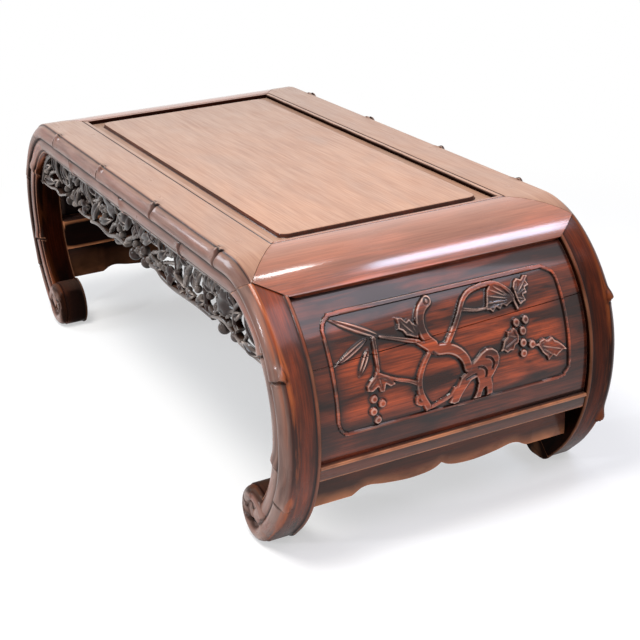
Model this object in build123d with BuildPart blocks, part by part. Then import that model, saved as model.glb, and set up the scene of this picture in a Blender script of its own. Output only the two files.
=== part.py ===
from build123d import *
from math import cos, radians, sin
import os

os.makedirs("parts", exist_ok=True)

# Low table with scrolled ends, in millimetres. X runs along the table, Y across it, and Z
# up from the floor. Front is -Y and right is +X. Pieces are drawn at the back right
# corner, and their twins are mirrored from there.

# ---- Overall sizes ----
table_length = 951.0
table_width = 434.0
table_height = 330.0

# ---- Side view of a leg: one run of tangent arcs from the flat top to the foot ----
crown_radius = 108.0
crown_turn = 30.0
shoulder_radius = 169.0
waist_run = 6.0
calf_turn = 46.0
ankle_run = 20.0
foot_radius = 36.0
foot_flat = 3.0
scroll_turn = 284.0

# ---- Moulding of the rails and legs, seen end on: u outwards, v in from the face ----
moulding_width = 43.6
moulding_depth = 46.0
face_width = 32.0
face_sink = 1.8
bead_width = 4.8
edge_step = 2.6
rod_bulge_v = 13.0
rod_valley_inset = 5.1
rod_valley_v = 22.0
thin_rod_inset = 2.6
thin_rod_bulge_v = 31.0
thin_rod_toe_inset = 11.6
rod_joint_width = 1.8
rod_joint_depth = 1.2
rail_joint_pitch = 190.0
leg_joint_turns = [65.0, 117.0]
rod_sides = 4
thin_rod_sides = 3
bead_sides = 2
eye_radius = 10.0
eye_height = 3.0

# ---- Top frame and its floating panel ----
frame_side_width = 69.6
frame_end_flat = 14.0
frame_thickness = 30.0
frame_lip = 6.0
scribe_inset = 5.6
scribe_width = 1.2
scribe_depth = 0.8
lip_turn = 9.2
tongue_thickness = 8.0
tongue_reach = 8.0
field_margin = 17.0
field_rise = 5.0
field_corner_radius = 12.0

# ---- Battens under the panel ----
batten_count = 3
batten_end_gap = 108.0
batten_width = 36.0
batten_height = 20.0
dovetail_neck = 18.0
dovetail_flare = 3.0
dovetail_rise = 4.0
batten_tenon_width = 22.0
batten_tenon_height = 8.0
batten_tenon_drop = 3.0
batten_tenon_reach = 10.0

# ---- End panel boards, bottom rail and end apron ----
panel_setback = 7.0
panel_thickness = 18.0
panel_tongue_setback = 5.0
panel_tongue_thickness = 8.0
panel_tongue_reach = 6.0
seam_height = 237.0
seam_rise = 12.0
bottom_rail_top = 124.0
bottom_rail_height = 20.0
rebate_height = 26.0
bottom_rail_inner_inset = 56.0
rail_bead_fillet = 1.2
rail_tenon_width = 16.0
rail_tenon_height = 12.0
rail_tenon_inset = 32.0
rail_tenon_reach = 18.0
end_apron_inset = 44.0
end_apron_thickness = 11.0
end_apron_clear = 55.0
end_apron_tongue = 5.0
end_apron_foot_width = 55.0
end_apron_arch_y = 94.0
end_apron_arch_rise = 7.5
end_apron_mid_rise = 1.0
end_apron_cusp_rise = 9.5

# ---- Pierced long aprons ----
apron_thickness = 13.0
apron_face_inset = 12.5
apron_drop = 60.0
apron_tongue = 6.0
apron_border = 7.0
stem_width = 7.0
stem_swing = 13.0
leaf_length = 42.0
leaf_width = 13.0
leaf_tilt = 35.0
berry_radius = 6.0
berry_sides = 8
motif_pitch = 68.0

# ---- Joint tongues and clearances ----
leg_tenon_length = 14.0
leg_tenon_width = 16.0
leg_tenon_offset = 15.0
leg_tenon_side = 10.0
leg_tenon_root = 2.0
leg_tenon_cover = 21.0
mitre_tongue_length = 34.0
mitre_tongue_thickness = 8.0
mitre_tongue_reach = 11.0
joint_clearance = 0.2
curved_clearance = 0.3
expansion_gap = 1.0

# ---- Worked out from the sizes above ----
moulding_y = table_width / 2 - moulding_width
crown_reach = crown_radius * sin(radians(crown_turn))
crown_start_x = table_length / 2 - crown_reach
crown_start_x -= shoulder_radius * (1 - sin(radians(crown_turn)))
crown_end_x = crown_start_x + crown_reach
crown_end_z = table_height - crown_radius * (1 - cos(radians(crown_turn)))
shoulder_x = crown_end_x - shoulder_radius * sin(radians(crown_turn))
shoulder_z = crown_end_z - shoulder_radius * cos(radians(crown_turn))
foot_z = foot_radius - foot_flat
ankle_fall = ankle_run * cos(radians(calf_turn)) - foot_radius * sin(radians(calf_turn))
calf_z = shoulder_z - waist_run
calf_radius = (calf_z - foot_z - ankle_fall) / sin(radians(calf_turn))
calf_x = table_length / 2 - calf_radius
foot_x = calf_x + (calf_radius - foot_radius) * cos(radians(calf_turn))
foot_x -= ankle_run * sin(radians(calf_turn))
lip_angle = radians(crown_turn + lip_turn)
lip_x = shoulder_x + shoulder_radius * sin(lip_angle)
lip_z = shoulder_z + shoulder_radius * cos(lip_angle)
opening_x = crown_start_x - frame_end_flat
opening_y = table_width / 2 - frame_side_width
corner_y = moulding_y + face_width
floor_z = table_height - frame_lip
panel_bottom_z = floor_z - tongue_thickness
underside_z = table_height - moulding_depth
bottom_rail_inner_x = table_length / 2 - bottom_rail_inner_inset
bottom_rail_low = bottom_rail_top - bottom_rail_height
end_apron_x = table_length / 2 - end_apron_inset
apron_face_y = table_width / 2 - apron_face_inset
apron_bottom_z = underside_z - apron_drop
batten_spacing = 2 * (opening_x - batten_end_gap) / (batten_count - 1)

# ---- Planes where the rails and the leg meet at the back right shoulder ----
shoulder_corner = Vector(crown_end_x, corner_y, crown_end_z)
lip_corner = Vector(lip_x, moulding_y, lip_z)
splice_run = shoulder_corner - Vector(crown_start_x, corner_y, underside_z)
splice_plane = Plane(shoulder_corner, z_dir=(-splice_run.Z, 0, splice_run.X))
mitre_run = shoulder_corner - Vector(opening_x, opening_y, crown_end_z)
mitre_plane = Plane(shoulder_corner, z_dir=(-mitre_run.Y, mitre_run.X, 0))
valley = splice_plane.z_dir.cross(mitre_plane.z_dir)
leg_mitre_normal = (lip_corner - shoulder_corner).cross(valley)
if leg_mitre_normal.Z < 0:
    leg_mitre_normal = leg_mitre_normal * -1
leg_mitre_plane = Plane(shoulder_corner, z_dir=leg_mitre_normal)
lip_plane = Plane((lip_x, 0, lip_z), z_dir=(cos(lip_angle), 0, -sin(lip_angle)))
seam_plane = Plane((0, 0, seam_height), z_dir=(0, -seam_rise, 2 * moulding_y))
rail_start_plane = Plane((0, moulding_y, table_height), x_dir=(0, 1, 0), z_dir=(-1, 0, 0))
side_plane = Plane((0, moulding_y, 0), x_dir=(1, 0, 0), z_dir=(0, -1, 0))


def profile_run(depth):
    """The leg's side view, moved inwards by depth. Returns its two ends."""
    crown = JernArc(
        (crown_start_x, table_height - depth), (1, 0), crown_radius - depth, -crown_turn
    )
    shoulder_turn = 90 - crown_turn
    shoulder = JernArc(crown @ 1, crown % 1, shoulder_radius - depth, -shoulder_turn)
    waist = Line(shoulder @ 1, shoulder @ 1 + (shoulder % 1) * waist_run)
    calf = JernArc(waist @ 1, waist % 1, calf_radius - depth, -calf_turn)
    ankle = Line(calf @ 1, calf @ 1 + (calf % 1) * ankle_run)
    return crown @ 0, ankle @ 1


def band(outer_depth, inner_depth):
    """Adds the curved strip between two depths to the sketch."""
    with BuildLine() as outline:
        outer_start, outer_end = profile_run(outer_depth)
        inner_start, inner_end = profile_run(inner_depth)
        Line(outer_start, inner_start)
        Line(outer_end, inner_end)
    make_face(outline.edges())


def planed(start, crest, end, sides):
    """Draws the arc through three points as a few planed flats. Returns its end."""
    curve = ThreePointArc(start, crest, end, mode=Mode.PRIVATE)
    Polyline([curve @ (side / sides) for side in range(sides + 1)])
    return curve @ 1


def outer_rod():
    """The outer bamboo rod. Returns its lower end, in the valley over the thin rod."""
    valley = (moulding_width - rod_valley_inset, rod_valley_v)
    return planed((face_width, edge_step), (moulding_width, rod_bulge_v), valley, rod_sides)


def rod_outline():
    """The outer bamboo rod and the thin rod below it. Returns the lower end."""
    valley = outer_rod()
    crest = (moulding_width - thin_rod_inset, thin_rod_bulge_v)
    toe = (moulding_width - thin_rod_toe_inset, moulding_depth)
    return planed(valley, crest, toe, thin_rod_sides)


def bamboo_joint(place):
    """Cuts the groove of a bamboo joint round the outer rod, on a plane across it."""
    with BuildSketch(mode=Mode.PRIVATE) as core:
        with BuildLine() as outline:
            Polyline(outer_rod(), (0, rod_valley_v), (0, edge_step), (face_width, edge_step))
        make_face(outline.edges())
        offset(amount=-rod_joint_depth, mode=Mode.REPLACE)
    with BuildSketch(place) as ring:
        with BuildLine() as outline:
            Line(outer_rod(), (face_width, edge_step))
        make_face(outline.edges())
        offset(amount=rod_joint_depth / 2, kind=Kind.INTERSECTION)
        add(core.sketch, mode=Mode.SUBTRACT)
        with Locations((0, edge_step + rod_joint_depth)):
            Rectangle(
                2 * moulding_width,
                rod_valley_v - edge_step - 2 * rod_joint_depth,
                align=(Align.CENTER, Align.MIN),
                mode=Mode.INTERSECT,
            )
    extrude(ring.sketch, amount=rod_joint_width / 2, both=True, mode=Mode.SUBTRACT)


def beaded_face():
    """The bead along the panel and the sunk flat face beside it."""
    bead_end = (bead_width, face_sink)
    planed((0, face_sink), (bead_width / 2, 0), bead_end, bead_sides)
    Polyline(bead_end, (face_width, face_sink), (face_width, edge_step))


def save(piece, name):
    """Labels a finished piece and writes its file."""
    piece.part.label = name
    export_step(piece.part, "parts/" + name + ".step")


def save_mirrored(piece, name, plane):
    """Writes the twin of a piece on the other side of a plane."""
    with BuildPart() as twin:
        add(mirror(piece.part, about=plane, mode=Mode.PRIVATE))
    save(twin, name)
    return twin


# ---- Shapes that two pieces share, one as a tongue and one as its slot ----
def leg_tenon(clearance):
    """Stub tenon on top of a leg, in the slot under the long rail."""
    tenon_x = crown_start_x + leg_tenon_offset
    tenon_y = corner_y - leg_tenon_side
    base_z = underside_z + leg_tenon_root
    top_z = table_height - leg_tenon_cover + clearance
    with BuildSketch(Plane((tenon_x, tenon_y, base_z))) as end_view:
        Rectangle(leg_tenon_length + 2 * clearance, leg_tenon_width + 2 * clearance)
    extrude(end_view.sketch, amount=top_z - base_z)


def mitre_tongue(clearance):
    """Tongue of the end rail, in the slot of the long rail."""
    middle = Vector(opening_x, opening_y, 0) + mitre_run * 0.5
    middle.Z = table_height - frame_thickness / 2
    along = Vector(mitre_run.X, mitre_run.Y, 0)
    with BuildSketch(Plane(middle, x_dir=along, z_dir=mitre_plane.z_dir)) as end_view:
        Rectangle(
            mitre_tongue_length + 2 * clearance, mitre_tongue_thickness + 2 * clearance
        )
    extrude(end_view.sketch, amount=mitre_tongue_reach + clearance)


def panel_tongue(clearance):
    """Tongue along the side of the end boards, in the groove of the leg."""
    outer_depth = panel_setback + panel_tongue_setback
    with BuildSketch(side_plane) as side_view:
        band(outer_depth - clearance, outer_depth + panel_tongue_thickness + clearance)
    extrude(side_view.sketch, amount=-panel_tongue_reach - clearance)


def rail_tenon(clearance):
    """Tenon of the bottom rail, in the mortise of the leg."""
    tenon_x = table_length / 2 - rail_tenon_inset
    tenon_z = bottom_rail_top - bottom_rail_height / 2
    with BuildSketch(side_plane) as side_view:
        with Locations((tenon_x, tenon_z)):
            Rectangle(rail_tenon_width + 2 * clearance, rail_tenon_height + 2 * clearance)
    extrude(side_view.sketch, amount=-rail_tenon_reach - clearance)


def above(height):
    """Plane that keeps what lies above a height."""
    return Plane((0, 0, height))


def across(x, z, turn):
    """Plane across the moulding at a point of its path, where the path has turned."""
    heading = radians(turn)
    return Plane((x, moulding_y, z), x_dir=(0, 1, 0), z_dir=(-cos(heading), 0, sin(heading)))


def leg_section():
    """Draws the closed section of a leg."""
    with BuildLine() as outline:
        beaded_face()
        toe = rod_outline()
        Polyline(toe, (0, moulding_depth), (0, face_sink))
    make_face(outline.edges())


def leg_arc(centre, radius, start_turn, turn):
    """One curved run of a leg, about a centre in the side view."""
    centre_x, centre_z = centre
    heading = radians(start_turn)
    start_x = centre_x + radius * sin(heading)
    start_z = centre_z + radius * cos(heading)
    with BuildSketch(across(start_x, start_z, start_turn)) as section:
        leg_section()
    axis = Axis((centre_x, 0, centre_z), (0, 1, 0))
    revolve(section.sketch, axis=axis, revolution_arc=turn)


def leg_straight(x, z, turn, length):
    """One straight run of a leg."""
    with BuildSketch(across(x, z, turn)) as section:
        leg_section()
    extrude(section.sketch, amount=-length)


# ---- Leg, back right ----
with BuildPart() as leg_back_right:
    shoulder_turn = 90 - crown_turn
    ankle_turn = 90 + calf_turn
    ankle_x = calf_x + calf_radius * cos(radians(calf_turn))
    ankle_z = calf_z - calf_radius * sin(radians(calf_turn))
    leg_arc((crown_start_x, table_height - crown_radius), crown_radius, 0, crown_turn)
    leg_arc((shoulder_x, shoulder_z), shoulder_radius, crown_turn, shoulder_turn)
    leg_straight(table_length / 2, shoulder_z, 90, waist_run)
    leg_arc((calf_x, calf_z), calf_radius, 90, calf_turn)
    leg_straight(ankle_x, ankle_z, ankle_turn, ankle_run)
    scroll_x = foot_x + foot_radius * sin(radians(ankle_turn))
    scroll_z = foot_z + foot_radius * cos(radians(ankle_turn))
    with BuildSketch(across(scroll_x, scroll_z, ankle_turn)) as scroll_section:
        with BuildLine():
            beaded_face()
            valley_u = moulding_width - rod_valley_inset
            Polyline(
                outer_rod(),
                (valley_u, foot_radius - eye_radius),
                (valley_u + eye_height, foot_radius - eye_radius + eye_height),
                (valley_u + eye_height, foot_radius),
                (0, foot_radius),
                (0, face_sink),
            )
        make_face()
    scroll_axis = Axis((foot_x, 0, foot_z), (0, 1, 0))
    revolve(scroll_section.sketch, axis=scroll_axis, revolution_arc=scroll_turn)
    split(bisect_by=above(0), keep=Keep.TOP)
    split(bisect_by=splice_plane, keep=Keep.BOTTOM)
    split(bisect_by=leg_mitre_plane, keep=Keep.BOTTOM)
    centres = [(shoulder_x, shoulder_z, shoulder_radius), (calf_x, calf_z, calf_radius)]
    for (centre_x, centre_z, radius), turn in zip(centres, leg_joint_turns):
        joint_x = centre_x + radius * sin(radians(turn))
        joint_z = centre_z + radius * cos(radians(turn))
        bamboo_joint(across(joint_x, joint_z, turn))
    leg_tenon(0)
    with BuildPart(mode=Mode.PRIVATE) as leg_slots:
        panel_tongue(curved_clearance)
        split(bisect_by=above(bottom_rail_top - curved_clearance), keep=Keep.TOP)
        split(bisect_by=lip_plane, keep=Keep.TOP)
        rail_tenon(joint_clearance)
    add(leg_slots.part, mode=Mode.SUBTRACT)
save(leg_back_right, "leg_back_right")
leg_front_right = save_mirrored(leg_back_right, "leg_front_right", Plane.XZ)
save_mirrored(leg_back_right, "leg_back_left", Plane.YZ)
save_mirrored(leg_front_right, "leg_front_left", Plane.YZ)


# ---- Long rails of the top frame ----
def apron_slot(clearance):
    """Tongue along the top of a pierced apron, in the groove of the long rail."""
    middle_y = apron_face_y - apron_thickness / 2
    width = apron_thickness / 3 + 2 * clearance
    with BuildSketch(Plane((0, middle_y, underside_z))) as end_view:
        Rectangle(2 * crown_start_x - 2 * apron_border, width)
    extrude(end_view.sketch, amount=apron_tongue + clearance)


def batten_positions():
    """Centres of the battens along the table."""
    return [(number - (batten_count - 1) / 2) * batten_spacing for number in range(batten_count)]


def batten_tenons(clearance):
    """Tenons at the back ends of the battens, in the long rail."""
    middle_z = panel_bottom_z - batten_tenon_drop - batten_tenon_height / 2
    with BuildSketch(Plane((0, opening_y, 0), x_dir=(1, 0, 0), z_dir=(0, -1, 0))) as ends:
        with Locations([(x, middle_z) for x in batten_positions()]):
            Rectangle(
                batten_tenon_width + 2 * clearance, batten_tenon_height + 2 * clearance
            )
    extrude(ends.sketch, amount=-batten_tenon_reach - clearance)


with BuildPart() as long_rail_back:
    inner_u = opening_y - moulding_y
    scribe_u = inner_u + scribe_inset
    slot_u = inner_u + tongue_reach + expansion_gap
    with BuildLine(side_plane) as rail_path:
        flat_run = Line((0, table_height), (crown_start_x, table_height))
        JernArc(flat_run @ 1, flat_run % 1, crown_radius, -crown_turn)
    with BuildSketch(rail_start_plane):
        with BuildLine():
            toe = rod_outline()
            Polyline(
                toe,
                (0, moulding_depth),
                (0, frame_thickness),
                (inner_u, frame_thickness),
                (inner_u, frame_lip + tongue_thickness),
                (slot_u, frame_lip + tongue_thickness),
                (slot_u, frame_lip),
                (inner_u, frame_lip),
                (inner_u, 0),
                (scribe_u - scribe_width / 2, 0),
                (scribe_u, scribe_depth),
                (scribe_u + scribe_width / 2, 0),
                (face_width, 0),
                (face_width, edge_step),
            )
        make_face()
    sweep(path=rail_path.wire())
    for number in (0.5, 1.5):
        bamboo_joint(across(number * rail_joint_pitch, table_height, 0))
    split(bisect_by=mitre_plane, keep=Keep.TOP)
    split(bisect_by=splice_plane, keep=Keep.TOP)
    with BuildPart(mode=Mode.PRIVATE) as rail_slots:
        leg_tenon(joint_clearance)
        mitre_tongue(joint_clearance)
    add(rail_slots.part, mode=Mode.SUBTRACT)
    mirror(about=Plane.YZ)
    with BuildPart(mode=Mode.PRIVATE) as rail_grooves:
        apron_slot(joint_clearance)
        batten_tenons(joint_clearance)
    add(rail_grooves.part, mode=Mode.SUBTRACT)
save(long_rail_back, "long_rail_back")
save_mirrored(long_rail_back, "long_rail_front", Plane.XZ)


# ---- End rails of the top frame, rolled over into a lip ----
def roll(depth):
    """Side view of an end rail's roll, moved inwards by depth. Returns its two ends."""
    crown = JernArc(
        (crown_start_x, table_height - depth), (1, 0), crown_radius - depth, -crown_turn
    )
    lip = JernArc(crown @ 1, crown % 1, shoulder_radius - depth, -lip_turn)
    return crown @ 0, lip @ 1


with BuildPart() as end_rail_right:
    scribe_x = opening_x + scribe_inset
    slot_x = opening_x + tongue_reach + expansion_gap
    with BuildSketch(Plane.XZ):
        with BuildLine():
            outer_start, outer_end = roll(0)
            inner_start, inner_end = roll(frame_thickness)
            Line(outer_end, inner_end)
            Polyline(
                inner_start,
                (opening_x, table_height - frame_thickness),
                (opening_x, panel_bottom_z),
                (slot_x, panel_bottom_z),
                (slot_x, floor_z),
                (opening_x, floor_z),
                (opening_x, table_height),
                (scribe_x - scribe_width / 2, table_height),
                (scribe_x, table_height - scribe_depth),
                (scribe_x + scribe_width / 2, table_height),
                outer_start,
            )
        make_face()
    extrude(amount=-corner_y)
    split(bisect_by=mitre_plane, keep=Keep.BOTTOM)
    split(bisect_by=leg_mitre_plane, keep=Keep.TOP)
    mitre_tongue(0)
    mirror(about=Plane.XZ)
save(end_rail_right, "end_rail_right")
save_mirrored(end_rail_right, "end_rail_left", Plane.YZ)


# ---- Floating panel and the dovetailed battens under it ----
def dovetail(x, clearance):
    """End view of the key on a batten, or of its slot in the panel."""
    neck = dovetail_neck / 2 + clearance
    head = neck + dovetail_flare / 2
    base_z = panel_bottom_z
    top_z = base_z + dovetail_rise + clearance
    with Locations((x, 0)):
        Polygon((-neck, base_z), (neck, base_z), (head, top_z), (-head, top_z), align=None)


with BuildPart() as top_panel:
    with BuildSketch(Plane.XY.offset(panel_bottom_z)):
        Rectangle(2 * (opening_x + tongue_reach), 2 * (opening_y + tongue_reach))
    extrude(amount=tongue_thickness)
    with BuildSketch(Plane.XY.offset(floor_z)):
        RectangleRounded(
            2 * (opening_x - field_margin), 2 * (opening_y - field_margin), field_corner_radius
        )
    extrude(amount=field_rise)
    with BuildSketch(Plane.XZ) as dovetail_slots:
        for batten_x in batten_positions():
            dovetail(batten_x, joint_clearance)
    extrude(amount=opening_y + tongue_reach, both=True, mode=Mode.SUBTRACT)
save(top_panel, "top_panel")

batten_names = ["left", "middle", "right"]
for batten_x, batten_name in zip(batten_positions(), batten_names):
    with BuildPart() as batten:
        with BuildSketch(Plane.XZ):
            with Locations((batten_x, panel_bottom_z - batten_height / 2)):
                Rectangle(batten_width, batten_height)
            dovetail(batten_x, 0)
        extrude(amount=opening_y, both=True)
        with BuildPart(mode=Mode.PRIVATE) as tenons:
            batten_tenons(0)
            mirror(about=Plane.XZ)
            with Locations((batten_x, 0, panel_bottom_z)):
                Box(batten_spacing / 2, table_width, table_height, mode=Mode.INTERSECT)
        add(tenons.part)
    save(batten, "panel_batten_" + batten_name)


# ---- Curved end boards ----
with BuildPart() as end_boards:
    with BuildSketch(Plane.XZ):
        band(panel_setback, panel_setback + panel_thickness)
    extrude(amount=-moulding_y)
    panel_tongue(0)
    mirror(about=Plane.XZ)
    split(bisect_by=lip_plane, keep=Keep.TOP)
    split(bisect_by=above(bottom_rail_top), keep=Keep.TOP)

with BuildPart() as end_panel_upper_right:
    add(end_boards.part)
    split(bisect_by=seam_plane, keep=Keep.TOP)
save(end_panel_upper_right, "end_panel_upper_right")
save_mirrored(end_panel_upper_right, "end_panel_upper_left", Plane.YZ)

with BuildPart() as end_panel_lower_right:
    add(end_boards.part)
    split(bisect_by=seam_plane, keep=Keep.BOTTOM)
save(end_panel_lower_right, "end_panel_lower_right")
save_mirrored(end_panel_lower_right, "end_panel_lower_left", Plane.YZ)


# ---- Bottom rails, rebated behind the end boards ----
def end_apron_tongues(clearance):
    """Tongue along the top of an end apron, in the groove under the bottom rail."""
    middle_x = end_apron_x - end_apron_thickness / 2
    width = end_apron_thickness / 2 + 2 * clearance
    with BuildSketch(Plane((middle_x, 0, bottom_rail_low))) as end_view:
        Rectangle(width, 2 * moulding_y)
    extrude(end_view.sketch, amount=end_apron_tongue + clearance)


def rail_layer(outer_depth, low_z, high_z):
    """Side view of the bottom rail between two heights."""
    reach = table_length / 2 - bottom_rail_inner_x
    with BuildSketch(mode=Mode.PRIVATE) as layer:
        band(outer_depth, crown_radius / 2)
        with Locations((bottom_rail_inner_x, low_z)):
            Rectangle(
                reach, high_z - low_z, align=(Align.MIN, Align.MIN), mode=Mode.INTERSECT
            )
    add(layer.sketch)


with BuildPart() as bottom_rail_right:
    with BuildSketch(Plane.XZ) as rail_view:
        rail_layer(face_sink, bottom_rail_low, bottom_rail_top)
        rail_layer(0, bottom_rail_top - bead_width, bottom_rail_top)
        fillet(rail_view.vertices().sort_by(Axis.X)[-2:], rail_bead_fillet)
        lip_depth = panel_setback + panel_thickness + curved_clearance
        rail_layer(lip_depth, bottom_rail_top, bottom_rail_top + rebate_height)
    extrude(amount=-moulding_y)
    rail_tenon(0)
    mirror(about=Plane.XZ)
    with BuildPart(mode=Mode.PRIVATE) as rail_groove:
        end_apron_tongues(joint_clearance)
    add(rail_groove.part, mode=Mode.SUBTRACT)
save(bottom_rail_right, "bottom_rail_right")
save_mirrored(bottom_rail_right, "bottom_rail_left", Plane.YZ)

# ---- End aprons, shaped along the lower edge ----
with BuildPart() as end_apron_right:
    with BuildSketch(Plane.YZ.offset(end_apron_x)):
        with BuildLine():
            foot_end_y = moulding_y - end_apron_foot_width
            arch = (end_apron_arch_y, end_apron_clear + end_apron_arch_rise)
            cusp = (0, end_apron_clear + end_apron_cusp_rise)
            Polyline(
                cusp,
                (0, bottom_rail_low),
                (moulding_y, bottom_rail_low),
                (moulding_y, end_apron_clear),
                (foot_end_y, end_apron_clear),
            )
            Spline((foot_end_y, end_apron_clear), arch, tangents=((-1, 1), (-1, 0)))
            middle = (end_apron_arch_y / 2, end_apron_clear + end_apron_mid_rise)
            ThreePointArc(arch, middle, cusp)
        make_face()
        mirror(about=Plane.YZ)
    extrude(amount=-end_apron_thickness)
    end_apron_tongues(0)
save(end_apron_right, "end_apron_right")
save_mirrored(end_apron_right, "end_apron_left", Plane.YZ)


# ---- Pierced long aprons ----
def apron_outline(inset):
    """Adds the front view of a long apron, drawn in by inset, to the sketch."""
    depth = moulding_depth + curved_clearance + inset
    low_z = apron_bottom_z + inset
    with BuildSketch(mode=Mode.PRIVATE) as half:
        with BuildLine():
            start, end = profile_run(depth)
            Polyline(start, (0, start.Y), (0, end.Y), end)
        make_face()
        with Locations((0, low_z)):
            Rectangle(
                table_length, start.Y - low_z, align=(Align.CENTER, Align.MIN), mode=Mode.INTERSECT
            )
        mirror(about=Plane.YZ)
    return half.sketch


def leaf(angle):
    """Adds a pointed leaf that springs from the origin."""
    tip = (leaf_length, 0)
    with BuildSketch(mode=Mode.PRIVATE) as blade:
        Polygon(
            (0, 0),
            (leaf_length / 3, -leaf_width / 2),
            (leaf_length * 2 / 3, -leaf_width / 2.5),
            tip,
            (leaf_length * 2 / 3, leaf_width / 2.5),
            (leaf_length / 3, leaf_width / 2),
            align=None,
        )
    add(blade.sketch, rotation=angle)


with BuildPart() as pierced_apron_back:
    window_middle_z = (apron_bottom_z + underside_z) / 2
    window = apron_outline(apron_border)
    stem_length = 2 * (int(table_length / 2 / motif_pitch) + 1)
    stem_nodes = [
        (number - stem_length / 2) * motif_pitch for number in range(stem_length + 1)
    ]
    with BuildSketch(mode=Mode.PRIVATE) as vine:
        with BuildLine() as stem:
            swing = stem_swing
            for start_x, end_x in zip(stem_nodes, stem_nodes[1:]):
                SagittaArc((start_x, window_middle_z), (end_x, window_middle_z), swing)
                swing = -swing
        trace(stem.edges(), line_width=stem_width)
        tilt = leaf_tilt
        for node_x in stem_nodes:
            with Locations((node_x, window_middle_z)):
                leaf(tilt)
                leaf(180 - tilt)
                leaf(-2 * tilt)
            with Locations((node_x + motif_pitch / 2, window_middle_z + tilt / 3)):
                RegularPolygon(berry_radius, berry_sides)
            tilt = -tilt
        add(window, mode=Mode.INTERSECT)
    apron_plane = Plane((0, apron_face_y, 0), x_dir=(1, 0, 0), z_dir=(0, -1, 0))
    with BuildSketch(apron_plane) as apron_view:
        add(apron_outline(0))
        add(window, mode=Mode.SUBTRACT)
        add(vine.sketch)
        with Locations((0, underside_z)):
            Rectangle(
                2 * crown_start_x - 2 * apron_border,
                apron_border,
                align=(Align.CENTER, Align.MAX),
            )
    extrude(amount=apron_thickness)
    apron_slot(0)
save(pierced_apron_back, "pierced_apron_back")
save_mirrored(pierced_apron_back, "pierced_apron_front", Plane.XZ)
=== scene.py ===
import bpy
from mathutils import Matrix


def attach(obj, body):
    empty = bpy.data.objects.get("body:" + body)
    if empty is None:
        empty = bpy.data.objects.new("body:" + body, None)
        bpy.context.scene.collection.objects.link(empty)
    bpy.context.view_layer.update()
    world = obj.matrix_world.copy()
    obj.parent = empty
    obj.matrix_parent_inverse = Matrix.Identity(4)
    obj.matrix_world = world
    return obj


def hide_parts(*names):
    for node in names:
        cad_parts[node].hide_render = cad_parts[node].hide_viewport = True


bl_info = {
    "name": "Kang table",
    "version": (1, 0, 0),
    "blender": (4, 5, 0),
    "location": "View3D > Sidebar > Kang table",
    "description": "A low rosewood table with rolled ends, scrolled feet and carved sides",
    "category": "Add Mesh",
}

from math import cos, pi, radians, sin

import bmesh
import bpy
import numpy as np
from mathutils import Matrix, Vector

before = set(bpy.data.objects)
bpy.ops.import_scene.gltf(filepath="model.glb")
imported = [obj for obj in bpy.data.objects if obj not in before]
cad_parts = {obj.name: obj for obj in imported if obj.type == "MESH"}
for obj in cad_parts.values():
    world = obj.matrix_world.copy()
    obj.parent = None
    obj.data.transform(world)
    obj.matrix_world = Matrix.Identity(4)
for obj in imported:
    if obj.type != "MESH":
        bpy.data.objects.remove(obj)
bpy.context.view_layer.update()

# ---- Sizes that the frame fixes, in millimetres ----
# X runs along the table, Y across it, Z up. Depth is measured in from the outer face of the
# moulding, and reach outwards from its inner side, towards the table's long side.
MM = 0.001
LENGTH = 951.0
WIDTH = 434.0
HEIGHT = 330.0
CROWN_RADIUS = 108.0
CROWN_TURN = radians(30)
SHOULDER_RADIUS = 169.0
WAIST_RUN = 6.0
CALF_TURN = radians(46)
ANKLE_RUN = 20.0
FOOT_RADIUS = 36.0
FOOT_FLAT = 3.0
SCROLL_TURN = radians(284)

MOULDING_WIDTH = 43.6
MOULDING_DEPTH = 46.0
MOULDING_Y = WIDTH / 2 - MOULDING_WIDTH
FACE_WIDTH = 32.0
FACE_SINK = 1.8
BEAD_WIDTH = 4.8
ROD_VALLEY = (38.5, 22.0)

FRAME_SIDE = 69.6
FRAME_THICKNESS = 30.0
FRAME_LIP = 6.0
SCRIBE_INSET = 5.6
SCRIBE_HALF = 0.8
SCRIBE_DEPTH = 1.2
LIP_TURN = radians(9.2)
FIELD_MARGIN = 17.0
FIELD_RISE = 5.0
FIELD_CORNER = 12.0
PANEL_IN_FRAME = 6.0
PANEL_UNDER = 14.0

PANEL_SETBACK = 7.0
PANEL_THICKNESS = 18.0
SEAM_HEIGHT = 237.0
SEAM_RISE = 12.0
RAIL_TOP = 124.0
RAIL_HEIGHT = 20.0
REBATE_HEIGHT = 26.0
RAIL_INNER_X = LENGTH / 2 - 56
APRON_X = LENGTH / 2 - 44
APRON_THICKNESS = 11.0
APRON_CLEAR = 55.0

CARVED_THICKNESS = 13.0
CARVED_FACE_Y = WIDTH / 2 - 12.5
CARVED_LOW = HEIGHT - MOULDING_DEPTH - 60

# ---- Worked out from them ----
CROWN_START = LENGTH / 2 - CROWN_RADIUS * sin(CROWN_TURN)
CROWN_START -= SHOULDER_RADIUS * (1 - sin(CROWN_TURN))
CROWN_END = CROWN_START + CROWN_RADIUS * CROWN_TURN
LIP_END = CROWN_END + SHOULDER_RADIUS * LIP_TURN
CROWN_X = CROWN_START + CROWN_RADIUS * sin(CROWN_TURN)
CROWN_Z = HEIGHT - CROWN_RADIUS * (1 - cos(CROWN_TURN))
SHOULDER_X = CROWN_X - SHOULDER_RADIUS * sin(CROWN_TURN)
SHOULDER_Z = CROWN_Z - SHOULDER_RADIUS * cos(CROWN_TURN)
FOOT_Z = FOOT_RADIUS - FOOT_FLAT
CALF_Z = SHOULDER_Z - WAIST_RUN
ANKLE_FALL = ANKLE_RUN * cos(CALF_TURN) - FOOT_RADIUS * sin(CALF_TURN)
CALF_RADIUS = (CALF_Z - FOOT_Z - ANKLE_FALL) / sin(CALF_TURN)
CALF_X = LENGTH / 2 - CALF_RADIUS
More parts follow.
